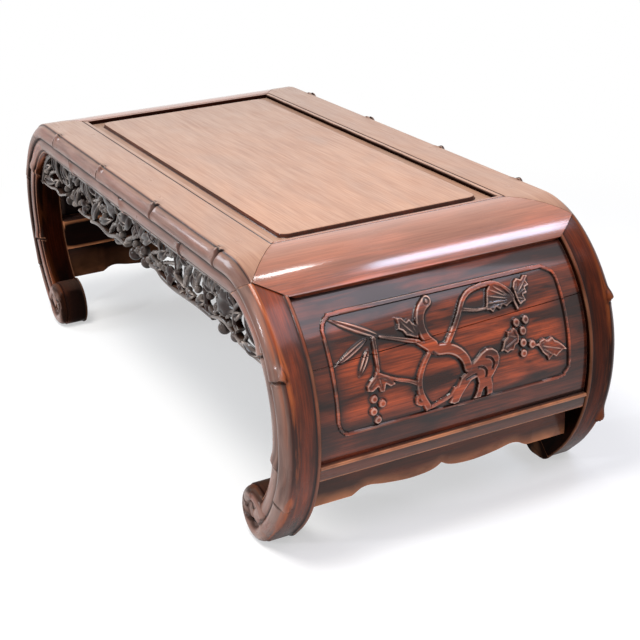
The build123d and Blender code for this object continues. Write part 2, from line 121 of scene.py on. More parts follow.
FOOT_X = CALF_X + (CALF_RADIUS - FOOT_RADIUS) * cos(CALF_TURN) - ANKLE_RUN * sin(CALF_TURN)
LIP_ANGLE = CROWN_TURN + LIP_TURN
OPENING_X = CROWN_START - 14
OPENING_Y = WIDTH / 2 - FRAME_SIDE
CORNER_Y = MOULDING_Y + FACE_WIDTH
FLOOR_Z = HEIGHT - FRAME_LIP

# Straight runs and arcs of the outer side view, from the middle of the top to the scroll:
# length, and the angle that each turns.
RUNS = (
    (CROWN_START, 0.0),
    (CROWN_RADIUS * CROWN_TURN, CROWN_TURN),
    (SHOULDER_RADIUS * (pi / 2 - CROWN_TURN), pi / 2 - CROWN_TURN),
    (WAIST_RUN, 0.0),
    (CALF_RADIUS * CALF_TURN, CALF_TURN),
    (ANKLE_RUN, 0.0),
    (FOOT_RADIUS * SCROLL_TURN, SCROLL_TURN),
)
ANKLE_END = sum(length for length, turn in RUNS[:-1])

# ---- Planes of the shoulder joints at the back right corner ----
SHOULDER_CORNER = Vector((CROWN_X, CORNER_Y, CROWN_Z))
LIP_CORNER = Vector(
    (
        SHOULDER_X + SHOULDER_RADIUS * sin(LIP_ANGLE),
        MOULDING_Y,
        SHOULDER_Z + SHOULDER_RADIUS * cos(LIP_ANGLE),
    )
)
SPLICE_RUN = SHOULDER_CORNER - Vector((CROWN_START, CORNER_Y, HEIGHT - MOULDING_DEPTH))
SPLICE_NORMAL = Vector((-SPLICE_RUN.z, 0, SPLICE_RUN.x)).normalized()
MITRE_RUN = SHOULDER_CORNER - Vector((OPENING_X, OPENING_Y, CROWN_Z))
MITRE_NORMAL = Vector((-MITRE_RUN.y, MITRE_RUN.x, 0)).normalized()
VALLEY = SPLICE_NORMAL.cross(MITRE_NORMAL)
LEG_MITRE_NORMAL = (LIP_CORNER - SHOULDER_CORNER).cross(VALLEY).normalized()
if LEG_MITRE_NORMAL.z < 0:
    LEG_MITRE_NORMAL.negate()

# ---- Sizes that only the visible pieces have, in millimetres ----
# Where the bamboo joints are: along the rails, with the way that each bud points, and by their
# height on the legs.
RAIL_JOINTS = {
    "front": [(-275, 1), (-82, 1), (118, -1), (312, -1)],
    "back": [(-285, 1), (-97, 1), (100, -1), (280, -1)],
}
RAIL_THIN_JOINTS = [(-210, 1), (-1, 1), (205, -1)]
LEG_JOINTS = (232, 74)
LEG_THIN_JOINTS = (262, 118)
RAIL_BUD = 3.6
# How far the swelling of a joint runs out along its rod.
RAIL_SHEATH = 13
LEG_SHEATH = 20
# Step between rows of points near a bamboo joint, and how far past the joint it holds.
JOINT_STEP = 1.1
JOINT_REACH = 30
# How far the pieces run on past their joints before they are cut, or hidden in the next piece.
RAIL_OVERRUN = 16.0
BOARD_UNDER_LIP = 5.0
BOARD_IN_RAIL = 3.0
# Groove and heart carved in the side of a foot's scroll, and the lower edge of an end apron.
SCROLL_GROOVE = (
    (440, 84), (424, 58), (409, 43), (392, 31), (375, 24), (361, 24), (352, 31), (350, 40),
    (355, 46), (361, 43), (360, 37),
)
SCROLL_HEART = ((372, 60), (366, 50), (364, 40), (368, 31))
APRON_EDGE = (
    (0, 64.5), (8, 60), (21, 57), (45, 56), (75, 59), (94, 62.5), (105, 61.5), (112, 58),
    (118, 55), (126, 55),
)
# Step between rows of points of the end carving.
RELIEF_STEP = 0.85
# Wood on ledges below this height gets painted shade, and whole pieces are darkened by given
# shares.
LEDGE_HEIGHT = 130.0
BACK_LEG_DARKENING = 0.55
END_APRON_DARKENING = 0.2
# How strongly a bend in the surface darkens a hollow with patina, and pales an edge as wear with
# painted highlight.
HOLLOW_GAIN = 9
WEAR_AND_HIGHLIGHT_GAIN = 4

# The skins are made at the right end and the back. A turn of -1 mirrors them on that axis.
ENDS = (("right", (1, 1, 1)), ("left", (-1, 1, 1)))
LONG_SIDES = (("front", (1, -1, 1)), ("back", (1, 1, 1)))


class KangTableSizes(bpy.types.PropertyGroup):
    """Carving and joint sizes that can change without changing the frame."""

    joint_gap: bpy.props.FloatProperty(
        name="Joint gap", description="Open line at a joint", default=0.5 * MM, unit="LENGTH"
    )
    seam_gap: bpy.props.FloatProperty(
        name="Seam gap", description="Open line between the end boards", default=0.3 * MM,
        unit="LENGTH",
    )
    relief_height: bpy.props.FloatProperty(
        name="Relief height", description="How far the end carving stands up",
        default=4.6 * MM, unit="LENGTH",
    )
    bud_height: bpy.props.FloatProperty(
        name="Bud height", description="How far a bamboo bud stands out on a leg",
        default=4.8 * MM, unit="LENGTH",
    )
    ring_height: bpy.props.FloatProperty(
        name="Ring height", description="Swelling of a bamboo joint", default=1.1 * MM,
        unit="LENGTH",
    )
    berry_radius: bpy.props.FloatProperty(
        name="Berry radius", description="Radius of a carved grape", default=5.6 * MM,
        unit="LENGTH",
    )


class KangTableFinish(bpy.types.PropertyGroup):
    """Colours of the rosewood."""

    # Paler colour of wood that faces up: faded wood, with painted sheen of the light above in it.
    top_faded_and_sheen_colour: bpy.props.FloatVectorProperty(
        name="Top colour", description="Flat wood that faces up, faded by light",
        default=(0.42, 0.242, 0.157), subtype="COLOR", size=3, min=0, max=1,
    )
    heart_colour: bpy.props.FloatVectorProperty(
        name="Heart colour", description="Polished wood on the sides",
        default=(0.21, 0.034, 0.009), subtype="COLOR", size=3, min=0, max=1,
    )
    streak_colour: bpy.props.FloatVectorProperty(
        name="Streak colour", description="Dark lines of the grain",
        default=(0.030, 0.011, 0.008), subtype="COLOR", size=3, min=0, max=1,
    )
    patina_colour: bpy.props.FloatVectorProperty(
        name="Patina colour", description="Old polish in the hollows",
        default=(0.014, 0.008, 0.007), subtype="COLOR", size=3, min=0, max=1,
    )
    # Pale colour of edges: rubbed wood, with painted highlight.
    worn_and_highlight_colour: bpy.props.FloatVectorProperty(
        name="Worn colour", description="Wood along rubbed edges",
        default=(0.55, 0.34, 0.26), subtype="COLOR", size=3, min=0, max=1,
    )


class KangTableStage(bpy.types.PropertyGroup):
    """Floor and light."""

    floor_colour: bpy.props.FloatVectorProperty(
        name="Floor colour", description="Pale studio floor", default=(0.93, 0.93, 0.93),
        subtype="COLOR", size=3, min=0, max=1,
    )
    floor_radius: bpy.props.FloatProperty(
        name="Floor radius", description="Size of the round floor", default=14.0, unit="LENGTH"
    )
    key_strength: bpy.props.FloatProperty(
        name="Key light", description="Power of the large soft lamp, in watts", default=46.0
    )


def sizes():
    """The sizes that a user may change."""
    return bpy.context.scene.kang_sizes


def finish():
    """The colours that a user may change."""
    return bpy.context.scene.kang_finish


# ---- Lines and outlines ----
def walk(distances, depth=0.0):
    """X, Z and heading on the moulding's side view, at distances from the table's middle."""
    distances = np.asarray(distances, float)
    x = np.zeros_like(distances)
    z = np.zeros_like(distances)
    heading = np.zeros_like(distances)
    start, start_x, start_z, turned = 0.0, 0.0, HEIGHT, 0.0
    for length, turn in RUNS:
        here = distances >= start
        run = distances[here] - start
        heading[here] = turned + turn * run / length
        if turn:
            radius = length / turn
            x[here] = start_x + radius * (np.sin(heading[here]) - sin(turned))
            z[here] = start_z + radius * (np.cos(heading[here]) - cos(turned))
            start_x += radius * (sin(turned + turn) - sin(turned))
            start_z += radius * (cos(turned + turn) - cos(turned))
        else:
            x[here] = start_x + run * cos(turned)
            z[here] = start_z - run * sin(turned)
            start_x += length * cos(turned)
            start_z -= length * sin(turned)
        start += length
        turned += turn
    return x - depth * np.sin(heading), z - depth * np.cos(heading), heading


def distance_at_height(height):
    """Distance along the outer side view of a leg at which it passes a height."""
    distances = np.linspace(CROWN_START, ANKLE_END, 800)
    heights = walk(distances)[1]
    return float(np.interp(-height, -heights, distances))


def arc_through(start, middle, end, count):
    """Points on the circle through three points, from the first to the last."""
    (ax, ay), (bx, by), (cx, cy) = start, middle, end
    twice = 2 * (ax * (by - cy) + bx * (cy - ay) + cx * (ay - by))
    a2, b2, c2 = ax * ax + ay * ay, bx * bx + by * by, cx * cx + cy * cy
    ox = (a2 * (by - cy) + b2 * (cy - ay) + c2 * (ay - by)) / twice
    oy = (a2 * (cx - bx) + b2 * (ax - cx) + c2 * (bx - ax)) / twice
    radius = np.hypot(ax - ox, ay - oy)
    first = np.arctan2(ay - oy, ax - ox)
    sweep_b = (np.arctan2(by - oy, bx - ox) - first) % (2 * pi)
    sweep_c = (np.arctan2(cy - oy, cx - ox) - first) % (2 * pi)
    if sweep_b > sweep_c:
        sweep_c -= 2 * pi
    angles = first + np.linspace(0, sweep_c, count)
    return [(ox + radius * cos(a), oy + radius * sin(a)) for a in angles]


def soften(outline, radius, steps):
    """Rounds the corners of a closed outline."""
    points = [np.array(p, float) for p in outline]
    rounded = []
    for index, corner in enumerate(points):
        before = points[index - 1] - corner
        after = points[(index + 1) % len(points)] - corner
        length_before, length_after = np.linalg.norm(before), np.linalg.norm(after)
        straightness = -np.dot(before, after) / (length_before * length_after)
        if straightness > 0.9:
            rounded.append(corner)
            continue
        back = before / length_before * min(radius, 0.42 * length_before)
        ahead = after / length_after * min(radius, 0.42 * length_after)
        for step in np.linspace(0, 1, steps + 1):
            rounded.append(corner + back * (1 - step) ** 2 + ahead * step**2)
    return rounded


def refine(outline, longest):
    """Adds points to a closed outline, so that no side is longer than a length."""
    points = []
    for index, start in enumerate(outline):
        run = outline[(index + 1) % len(outline)] - start
        pieces = max(1, int(np.ceil(np.linalg.norm(run) / longest)))
        points += [start + run * step / pieces for step in range(pieces)]
    return np.array(points)


def outward(outline):
    """Unit directions out of a closed outline, one for each point."""
    along = np.roll(outline, -1, 0) - np.roll(outline, 1, 0)
    along /= np.maximum(np.linalg.norm(along, axis=1, keepdims=True), 1e-9)
    area = np.sum(outline[:, 0] * np.roll(outline[:, 1], -1))
    area -= np.sum(outline[:, 1] * np.roll(outline[:, 0], -1))
    side = 1 if area > 0 else -1
    return np.stack([along[:, 1], -along[:, 0]], 1) * side


def smooth_line(points, step):
    """Even points on a smooth line through a few points."""
    points = np.array(points, float)
    padded = np.vstack([2 * points[0] - points[1], points, 2 * points[-1] - points[-2]])
    line = []
    for index in range(1, len(padded) - 2):
        a, b, c, d = padded[index - 1 : index + 3]
        count = max(2, int(np.linalg.norm(c - b) / step))
        for t in np.arange(count) / count:
            line.append(
                0.5 * (2 * b + (c - a) * t + (2 * a - 5 * b + 4 * c - d) * t**2
                       + (3 * b - a - 3 * c + d) * t**3)
            )
    line.append(points[-1])
    return np.array(line)


# ---- Shells: closed skins of points and faces, joined into pieces ----
def quads(rows, ring, wraps_rows=False, wraps_ring=True):
    """Faces between rows of points. A side that wraps also joins its last points to its first."""
    faces = []
    for row in range(rows if wraps_rows else rows - 1):
        here, below = row * ring, (row + 1) % rows * ring
        for column in range(ring if wraps_ring else ring - 1):
            beside = (column + 1) % ring
            faces.append((here + column, here + beside, below + beside, below + column))
    return faces


def point_values(mesh, name):
    """Places or normals of a mesh's points, one row for each."""
    values = np.empty(len(mesh.vertices) * 3)
    mesh.vertices.foreach_get(name, values)
    return values.reshape(-1, 3)


def keep_values(mesh, name, values):
    """Keeps a number or a vector for each point of a mesh, under a name."""
    values = np.asarray(values, float)
    kind, field = ("FLOAT", "value") if values.ndim == 1 else ("FLOAT_VECTOR", "vector")
    mesh.attributes.new(name, kind, "POINT").data.foreach_set(field, values.ravel())


class Skin:
    """Points, faces and grain places of one piece, gathered shell by shell."""

    def __init__(self, rows=None, grain=None):
        self.points = []
        self.faces = []
        self.grain = []
        self.count = 0
        if rows is not None:
            self.add_rows(rows, grain)

    def add(self, points, faces, grain):
        """Adds one shell. Grain holds how far along, across and into the wood each point is."""
        self.points.append(np.asarray(points, float))
        self.grain.append(np.asarray(grain, float))
        self.faces += [tuple(corner + self.count for corner in face) for face in faces]
        self.count += len(points)

    def add_rows(self, rows, grain):
        """Adds a tube of rows, each one closed ring of points. The ends get caps."""
        rows = np.asarray(rows, float)
        count, ring = rows.shape[:2]
        faces = quads(count, ring)
        faces.append(tuple(range(ring - 1, -1, -1)))
        faces.append(tuple(range((count - 1) * ring, count * ring)))
        self.add(rows.reshape(-1, 3), faces, np.asarray(grain, float).reshape(-1, 3))

    def mirrored(self, axis):
        """The twin of this skin on the other side of the table's middle."""
        twin = Skin()
        flip = np.ones(3)
        flip[axis] = -1
        twin.points = [points * flip for points in self.points]
        twin.grain = [grain.copy() for grain in self.grain]
        twin.faces = [tuple(reversed(face)) for face in self.faces]
        twin.count = self.count
        return twin

    def mesh(self, name):
        """A mesh in metres with the grain kept on its points."""
        mesh = bpy.data.meshes.new(name)
        mesh.from_pydata((np.concatenate(self.points) * MM).tolist(), [], self.faces)
        keep_values(mesh, "grain", np.concatenate(self.grain) * MM)
        return mesh


def trim(mesh, cuts):
    """Cuts a mesh with planes, each a point, a normal and the side kept, and caps it."""
    work = bmesh.new()
    work.from_mesh(mesh)
    bmesh.ops.recalc_face_normals(work, faces=work.faces)
    gap = sizes().joint_gap / 2
    for point, normal, keeps_top in cuts:
        cut = bmesh.ops.bisect_plane(
            work, geom=work.verts[:] + work.edges[:] + work.faces[:],
            plane_co=Vector(point) * MM + Vector(normal) * (gap if keeps_top else -gap),
            plane_no=normal, clear_inner=keeps_top, clear_outer=not keeps_top, dist=1e-7,
        )
        edges = [part for part in cut["geom_cut"] if isinstance(part, bmesh.types.BMEdge)]
        bmesh.ops.holes_fill(work, edges=[edge for edge in edges if edge.is_boundary])
    bmesh.ops.recalc_face_normals(work, faces=work.faces)
    work.to_mesh(mesh)
    work.free()


def mark_patina_wear_and_highlight(mesh, halo):
    """Keeps how hollow and how proud each point lies, for the patina and the pale edges, which are
    wear with painted highlight.
    """
    count = len(mesh.vertices)
    ends = np.empty(len(mesh.edges) * 2, np.int64)
    mesh.edges.foreach_get("vertices", ends)
    near, far = ends.reshape(-1, 2).T
    place, normal = point_values(mesh, "co") / MM, point_values(mesh, "normal")
    run = place[far] - place[near]
    square = np.maximum((run**2).sum(1), 0.04)
    meets = np.bincount(near, minlength=count) + np.bincount(far, minlength=count)

    def gathered(at_near, at_far):
        return np.bincount(near, at_near, count) + np.bincount(far, at_far, count)

    def blurred(values, passes):
        for _ in range(passes):
            values = (values + gathered(values[far], values[near])) / (meets + 1)
        return values

    bend = gathered((normal[near] * run).sum(1) / square, -(normal[far] * run).sum(1) / square)
    bend /= np.maximum(meets, 1)
    hollow = blurred(np.clip(bend, 0, 0.6), halo)
    worn = blurred(-bend, 2)
    for name, values in (("hollow", hollow * HOLLOW_GAIN), ("worn", worn * WEAR_AND_HIGHLIGHT_GAIN)):
        keep_values(mesh, name, np.clip(values, 0, 1))


def mark_shade(mesh, shade):
    """Keeps how dark the wood is: a given darkening everywhere, and painted shade, nearly full, on
    hidden inner sides and low ledges.
    """
    place, normal = point_values(mesh, "co"), point_values(mesh, "normal")
    # Painted shade: sides that face the table's middle, undersides, and ledges that face up low
    # down.
    inward = -np.sign(place) * normal
    inward[:, 2] = -normal[:, 2] * 0.7
    hidden = np.clip(inward.max(1) * 2.2 - 0.5, 0, 1)
    low = np.clip((LEDGE_HEIGHT * MM - place[:, 2]) / 0.02, 0, 1)
    ledge = 0.8 * low * np.clip(normal[:, 2] * 3 - 0.9, 0, 1)
    keep_values(mesh, "shade", np.maximum(shade, 0.93 * np.maximum(hidden, ledge)))


def place_piece(mesh, material, slot, *nodes, crease=38, halo=6, shade=0.0):
    """Puts a finished mesh in the scene in place of its nodes. A given share darkens its wood, and
    painted shade darkens its hidden sides.
    """
    mesh.validate()
    mesh.shade_smooth()
    mesh.set_sharp_from_angle(angle=radians(crease))
    if halo:
        mark_patina_wear_and_highlight(mesh, halo)
    mark_shade(mesh, shade)
    piece = bpy.data.objects.new(mesh.name, mesh)
    bpy.context.scene.collection.objects.link(piece)
    mesh.materials.clear()
    mesh.materials.append(material)
    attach(piece, "root")
    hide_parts(*nodes)


def make_piece(skin, node, ending, kind, slot, turn=(1, 1, 1), cuts=(), **look):
    """Makes the piece of a node from a skin and its cuts, mirrored where turn is -1."""
    for axis in (0, 1):
        if turn[axis] < 0:
            skin = skin.mirrored(axis)
    turn = Vector(turn)
    mesh = skin.mesh(node + ending)
    trim(mesh, [(point * turn, normal * turn, keeps_top) for point, normal, keeps_top in cuts])
    place_piece(mesh, wood(kind), slot, node, **look)


# ---- Node trees ----
def set_inputs(tree, node, inputs):
    """Sets each input of a node to a value, or links it to another node's output."""
    for name, value in inputs.items():
        if isinstance(value, bpy.types.NodeSocket):
            tree.links.new(value, node.inputs[name])
        else:
            node.inputs[name].default_value = value


def add_node(tree, kind, inputs=None, **settings):
    """A new node with its settings and inputs."""
    node = tree.nodes.new(kind)
    for name, value in settings.items():
        setattr(node, name, value)
    set_inputs(tree, node, inputs or {})
    return node


def new_group(name, kind, inputs, outputs):
    """A node group with sockets, each a name, a kind and perhaps a value, and its two ends."""
    tree = bpy.data.node_groups.new(name, kind)
    for way, sockets in (("INPUT", inputs), ("OUTPUT", outputs)):
        for label, socket_kind, *value in sockets:
            socket = tree.interface.new_socket(
                label, in_out=way, socket_type="NodeSocket" + socket_kind
            )
            if value:
                socket.default_value = value[0]
    inside, outside = tree.nodes.new("NodeGroupInput"), tree.nodes.new("NodeGroupOutput")
    return tree, inside.outputs, outside


# ---- The bamboo moulding of the rails and legs ----
def rod_outline():
    """The outer rod and the thin rod below it, seen end on."""
    bend = [(33.0, 2.1), (35.8, 3.7), (38.8, 6.2), (41.4, 9.4), (43.0, 13.2), (43.0, 16.8),
            (41.4, 20.0), ROD_VALLEY]
    outer = [tuple(point) for point in smooth_line(bend, 1.5)]
    thin = arc_through(ROD_VALLEY, (41.0, 31), (32, MOULDING_DEPTH), 21)
    thin = [(reach - 1.1 * (index in (13, 14)), depth) for index, (reach, depth) in enumerate(thin)]
    return outer + thin[1:]


def leg_section():
    """Closed outline of a leg: bead, sunk face, groove, two rods, inner side."""
    bead = arc_through((0, FACE_SINK), (BEAD_WIDTH / 2, 0), (BEAD_WIDTH, FACE_SINK), 7)
    face = [(BEAD_WIDTH + 0.8, FACE_SINK + 0.3), (24, FACE_SINK), (31.4, FACE_SINK)]
    outline = soften(bead + face + rod_outline() + [(0, MOULDING_DEPTH)], 0.7, 2)
    return refine(outline, 2.6)


def rail_section():
    """Closed outline of a long rail: rods, underside, opening edge, scribed line, flat top."""
    inner = OPENING_Y - MOULDING_Y
    scribe = inner + SCRIBE_INSET
    outline = rod_outline() + [
        (0, MOULDING_DEPTH),
        (0, FRAME_THICKNESS),
        (inner, FRAME_THICKNESS),
        (inner, 0),
        (scribe - SCRIBE_HALF, 0),
        (scribe, SCRIBE_DEPTH),
        (scribe + SCRIBE_HALF, 0),
        (FACE_WIDTH - 0.8, 0),
        (FACE_WIDTH + 0.6, 0.9),
    ]
    return refine(soften(outline, 0.6, 2), 3.0)


def rod_weights(outline):
    """How much each point of a section belongs to the outer rod, its crest and the thin rod."""
    reach, depth = outline[:, 0], outline[:, 1]
    outer = np.clip((reach - 31) / 3, 0, 1) * np.clip((ROD_VALLEY[1] - depth) / 3, 0, 1)
    crest = np.exp(-((reach - 35.0) ** 2 + (depth - 3.4) ** 2) / 4.6**2)
    thin = np.clip((reach - 30) / 3, 0, 1) * np.clip((depth - ROD_VALLEY[1]) / 3, 0, 1)
    return outer, crest, thin


def bamboo_joints(along, places, bow, ring, bud, reach):
    """Swelling of a rod and height of its bud, for joints at signed places along it."""
    along = along[:, None] + 0 * bow
    swelling = np.zeros_like(along)
    knob = np.zeros_like(along)
    for place, facing in places:
        offset = (along - place) * facing + bow
        sheath = np.exp(-((np.maximum(offset, 0) / reach) ** 1.5)) * np.clip(offset / 1.6, 0, 1)
        swelling += ring * sheath - 1.7 * np.exp(-((offset / 1.25) ** 2))
        swelling += 0.35 * ring * np.exp(-(((offset + 3.5) / 2.2) ** 2))
        slope = np.exp(-((np.maximum(offset - 4, 0) / (0.55 * reach)) ** 2))
        knob += bud * (np.clip(offset / 2.2, 0, 1) * slope)
    return swelling, knob


def stations(start, end, coarse, places):
    """Distances along a run, closer together at the bamboo joints."""
    marks = [np.arange(start, end, coarse), [end]]
    for place, facing in places:
        near = place + facing * np.arange(-8, JOINT_REACH, JOINT_STEP)
        marks.append(near[(near > start) & (near < end)])
    marks = np.unique(np.round(np.concatenate(marks), 3))
    kept = [marks[0]]
    for mark in marks[1:]:
        if mark - kept[-1] > 0.5 * JOINT_STEP:
            kept.append(mark)
    return np.array(kept)


def swept(along, depth, y):
    """Points at distances along the side view, depths in from it and places across the table.

    Negative distances are left of the table's middle.
    """
    x, z, heading = walk(np.abs(along))
    side = np.where(along < 0, -1.0, 1.0)
    x = (x[:, None] - depth * np.sin(heading)[:, None]) * side[:, None]
    z = z[:, None] - depth * np.cos(heading)[:, None]
    return np.stack(np.broadcast_arrays(x, y, z), 2)


def moulding_rows(along, outline, outer_joints, thin_joints, bud, reach):
    """Rows of points of the moulding at distances along it, and their grain places."""
    outer, crest, thin = rod_weights(outline)
    ring = sizes().ring_height / MM
    bow = 4.0 * ((outline[:, 1] - 15.0) / 10) ** 2 * (outer > 0)
    thin_bow = 3.0 * ((outline[:, 1] - 34.0) / 11) ** 2 * (thin > 0)
    swelling, knob = bamboo_joints(along, outer_joints, bow - 4.0 * crest, ring, bud, reach)
    thin_swelling, thin_knob = bamboo_joints(
        along, thin_joints, thin_bow, 0.9 * ring, 0.3 * bud, reach
    )
    rise = swelling * outer + knob * crest
    rise += (thin_swelling + thin_knob) * thin
    section = outline[None] + rise[:, :, None] * outward(outline)[None]
    out, depth = section[:, :, 0], section[:, :, 1]
    grain = np.stack(np.broadcast_arrays(along[:, None], out, depth), 2)
    return swept(along, depth, MOULDING_Y + out), grain


def bar_across(outline, half_width, columns):
    """A skin that runs a closed side view across the table, with the grain along it."""
    across = np.linspace(-half_width, half_width, columns)[:, None]
    rows = np.stack(np.broadcast_arrays(outline[:, 0], across, outline[:, 1]), 2)
    return Skin(rows, rows[:, :, [1, 0, 2]])


class KANG_OT_long_rails(bpy.types.Operator):
    """Long rails of the top frame, with the double bamboo moulding"""

    bl_idname = "kang.long_rails"
    bl_label = "Long rails"

    def execute(self, context):
        end = CROWN_END + RAIL_OVERRUN
        outline = rail_section()
        cuts = []
        for turn in (Vector((1, 1, 1)), Vector((-1, 1, 1))):
            for normal in (MITRE_NORMAL, SPLICE_NORMAL):
                cuts.append((SHOULDER_CORNER * turn, normal * turn, True))
        for side, turn in LONG_SIDES:
            joints = RAIL_JOINTS[side]
            along = stations(-end, end, 4.0, joints + RAIL_THIN_JOINTS)
            skin = Skin(
                *moulding_rows(along, outline, joints, RAIL_THIN_JOINTS, RAIL_BUD, RAIL_SHEATH)
            )
            make_piece(skin, "long_rail_" + side, "_moulded", "frame", "frame_wood", turn, cuts)
        return {"FINISHED"}


class KANG_OT_end_rails(bpy.types.Operator):
    """End rails of the top frame, rolled over into a lip"""

    bl_idname = "kang.end_rails"
    bl_label = "End rails"

    def execute(self, context):
        along = np.linspace(CROWN_START, LIP_END, 44)
        outer = np.stack(walk(along)[:2], 1)
        inner = np.stack(walk(along[::-3], FRAME_THICKNESS)[:2], 1)
        scribe = OPENING_X + SCRIBE_INSET
        outline = [
            *outer, *inner, (OPENING_X, HEIGHT - FRAME_THICKNESS), (OPENING_X, HEIGHT),
            (scribe - SCRIBE_HALF, HEIGHT), (scribe, HEIGHT - SCRIBE_DEPTH),
            (scribe + SCRIBE_HALF, HEIGHT),
        ]
        skin = bar_across(refine(soften(outline, 1.6, 4), 4.0), CORNER_Y, 42)
        cuts = []
        for turn in (Vector((1, 1, 1)), Vector((1, -1, 1))):
            cuts.append((SHOULDER_CORNER * turn, MITRE_NORMAL * turn, False))
            cuts.append((SHOULDER_CORNER * turn, LEG_MITRE_NORMAL * turn, True))
        for side, turn in ENDS:
            make_piece(skin, "end_rail_" + side, "_rolled", "roll", "frame_wood", turn, cuts)
        return {"FINISHED"}


def rounded_loop(half_x, half_y, radius, z):
    """Points of a rounded rectangle at a height."""
    points = []
    steps = 8
    for corner in range(4):
        middle_x = (half_x - radius) * (1 if corner in (0, 3) else -1)
        middle_y = (half_y - radius) * (1 if corner in (0, 1) else -1)
        for step in range(steps + 1):
            angle = (corner + step / steps) * pi / 2
            points.append((middle_x + radius * cos(angle), middle_y + radius * sin(angle), z))
    return points


class KANG_OT_top_panel(bpy.types.Operator):
    """Floating panel with its raised field"""

    bl_idname = "kang.top_panel"
    bl_label = "Top panel"

    def execute(self, context):
        half_x, half_y = OPENING_X + PANEL_IN_FRAME, OPENING_Y + PANEL_IN_FRAME
        loops = [rounded_loop(half_x, half_y, 0.5, z) for z in (HEIGHT - PANEL_UNDER, FLOOR_Z)]
        top = FLOOR_Z + FIELD_RISE
        for out, z in (
            (1.6, FLOOR_Z), (0.9, FLOOR_Z - 0.9), (0.0, FLOOR_Z), (0.0, top - 1.4),
            (-0.4, top - 0.4), (-1.4, top), (-3.0, top),
        ):
            half_x, half_y = OPENING_X - FIELD_MARGIN + out, OPENING_Y - FIELD_MARGIN + out
            loops.append(rounded_loop(half_x, half_y, FIELD_CORNER + out, z))
        skin = Skin(loops, loops)
        make_piece(skin, "top_panel", "_raised", "panel_top", "top_wood")
        return {"FINISHED"}


# ---- Legs ----
def nearest(x, z, start, end):
    """How far along a straight line the point nearest to each place is, and how far away."""
    run_x, run_z = end[0] - start[0], end[1] - start[1]
    share = ((x - start[0]) * run_x + (z - start[1]) * run_z) / max(run_x**2 + run_z**2, 1e-9)
    share = np.clip(share, 0, 1)
    return share, np.hypot(x - start[0] - share * run_x, z - start[1] - share * run_z)


def ridge(x, z, line, width, height):
    """Height of a rounded ridge along a line, over places x and z. Width may vary along it."""
    line = np.asarray(line, float)
    widths = np.broadcast_to(np.asarray(width, float), (len(line),))
    best = np.zeros(np.shape(x))
    for index in range(len(line) - 1):
        share, away = nearest(x, z, line[index], line[index + 1])
        half = (widths[index] + share * (widths[index + 1] - widths[index])) / 2
        best = np.maximum(best, np.sqrt(np.clip(1 - (away / half) ** 2, 0, 1)))
    return best * height


def tube(line, half, ring, y):
    """Rings of points round a line of the side view. Half is how far they reach to its sides."""
    run = np.gradient(line, axis=0)
    run /= np.linalg.norm(run, axis=1, keepdims=True)
    x = line[:, :1] - run[:, 1:] * half * np.cos(ring)
    z = line[:, 1:] + run[:, :1] * half * np.cos(ring)
    return np.stack(np.broadcast_arrays(x, y, z), 2)


def scroll_disc(skin):
    """Rolled end of a foot: a disc whose side is carved with the scroll."""
    outline = arc_through((0, FACE_SINK), (BEAD_WIDTH / 2, 0), (BEAD_WIDTH, FACE_SINK), 5)
    outline += [(reach, FACE_SINK) for reach in (12, 22, FACE_WIDTH - 0.7)]
    outline.append((FACE_WIDTH + 0.2, 4.2))
    outline += arc_through((33.0, 3.0), (MOULDING_WIDTH, 13), ROD_VALLEY, 15)
    outline += [(ROD_VALLEY[0], depth) for depth in np.arange(23.2, FOOT_RADIUS - 0.5, 1.2)]
    outline = np.array(outline)
    angles = np.linspace(0, 2 * pi, 150, endpoint=False)
    radius = FOOT_RADIUS - outline[:, 1]
    x = FOOT_X + np.outer(np.sin(angles), radius)
    z = FOOT_Z + np.outer(np.cos(angles), radius)
    reach = np.broadcast_to(outline[:, 0], x.shape).copy()
    on_side = np.clip((reach - 36.5) / 2, 0, 1)
    groove = smooth_line(SCROLL_GROOVE, 2.0)
    width = np.interp(np.arange(len(groove)), [0, len(groove) * 0.6, len(groove)], [4.5, 4.5, 3.0])
    reach -= on_side * ridge(x, z, groove, width, 2.6)
    reach += on_side * ridge(x, z, smooth_line(SCROLL_HEART, 2.0), 14.0, 1.8)
    grain = np.stack(np.broadcast_arrays(angles[:, None] * 25, reach, radius), 2)

    inner_y = MOULDING_Y + 0.25
    centre = (FOOT_X, MOULDING_Y + float(reach[:, -1].mean()), FOOT_Z)
    sides = np.stack([x, MOULDING_Y + reach, z], 2).reshape(-1, 3)
    points = np.vstack([sides, centre, (FOOT_X, inner_y, FOOT_Z)])
    points[:, 1] = np.maximum(points[:, 1], inner_y)
    points[:, 2] = np.maximum(points[:, 2], 0.0)
    count, ring = x.shape
    faces = quads(count, ring, wraps_rows=True, wraps_ring=False)
    for row in range(count):
        here, below = row * ring, (row + 1) % count * ring
        faces.append((here + ring - 1, count * ring, below + ring - 1))
        faces.append((below, count * ring + 1, here))
    skin.add(points, faces, np.vstack([grain.reshape(-1, 3), np.zeros((2, 3))]))


def tongue(skin):
    """End of the thin rod, laid on the side of the scroll."""
    x, z = walk([ANKLE_END - 26, ANKLE_END], 33.0)[:2]
    line = smooth_line([*zip(x, z), (399, 53), (391, 46)], 1.6)
    share = np.linspace(0, 1, len(line))[:, None]
    half = np.interp(share, [0, 0.5, 0.86, 0.96, 1.0], [10.5, 9.0, 7.0, 4.5, 0.4])
    rise = np.interp(share, [0, 0.6, 0.9, 1.0], [6.0, 6.0, 4.6, 0.3])
    ring = np.linspace(0, 2 * pi, 24, endpoint=False)
    rows = tube(line, half, ring, MOULDING_Y + 35.6 + rise * np.sin(ring))
    grain = np.stack(np.broadcast_arrays(share * 60, rows[:, :, 1], rows[:, :, 2]), 2)
    skin.add_rows(rows, grain)


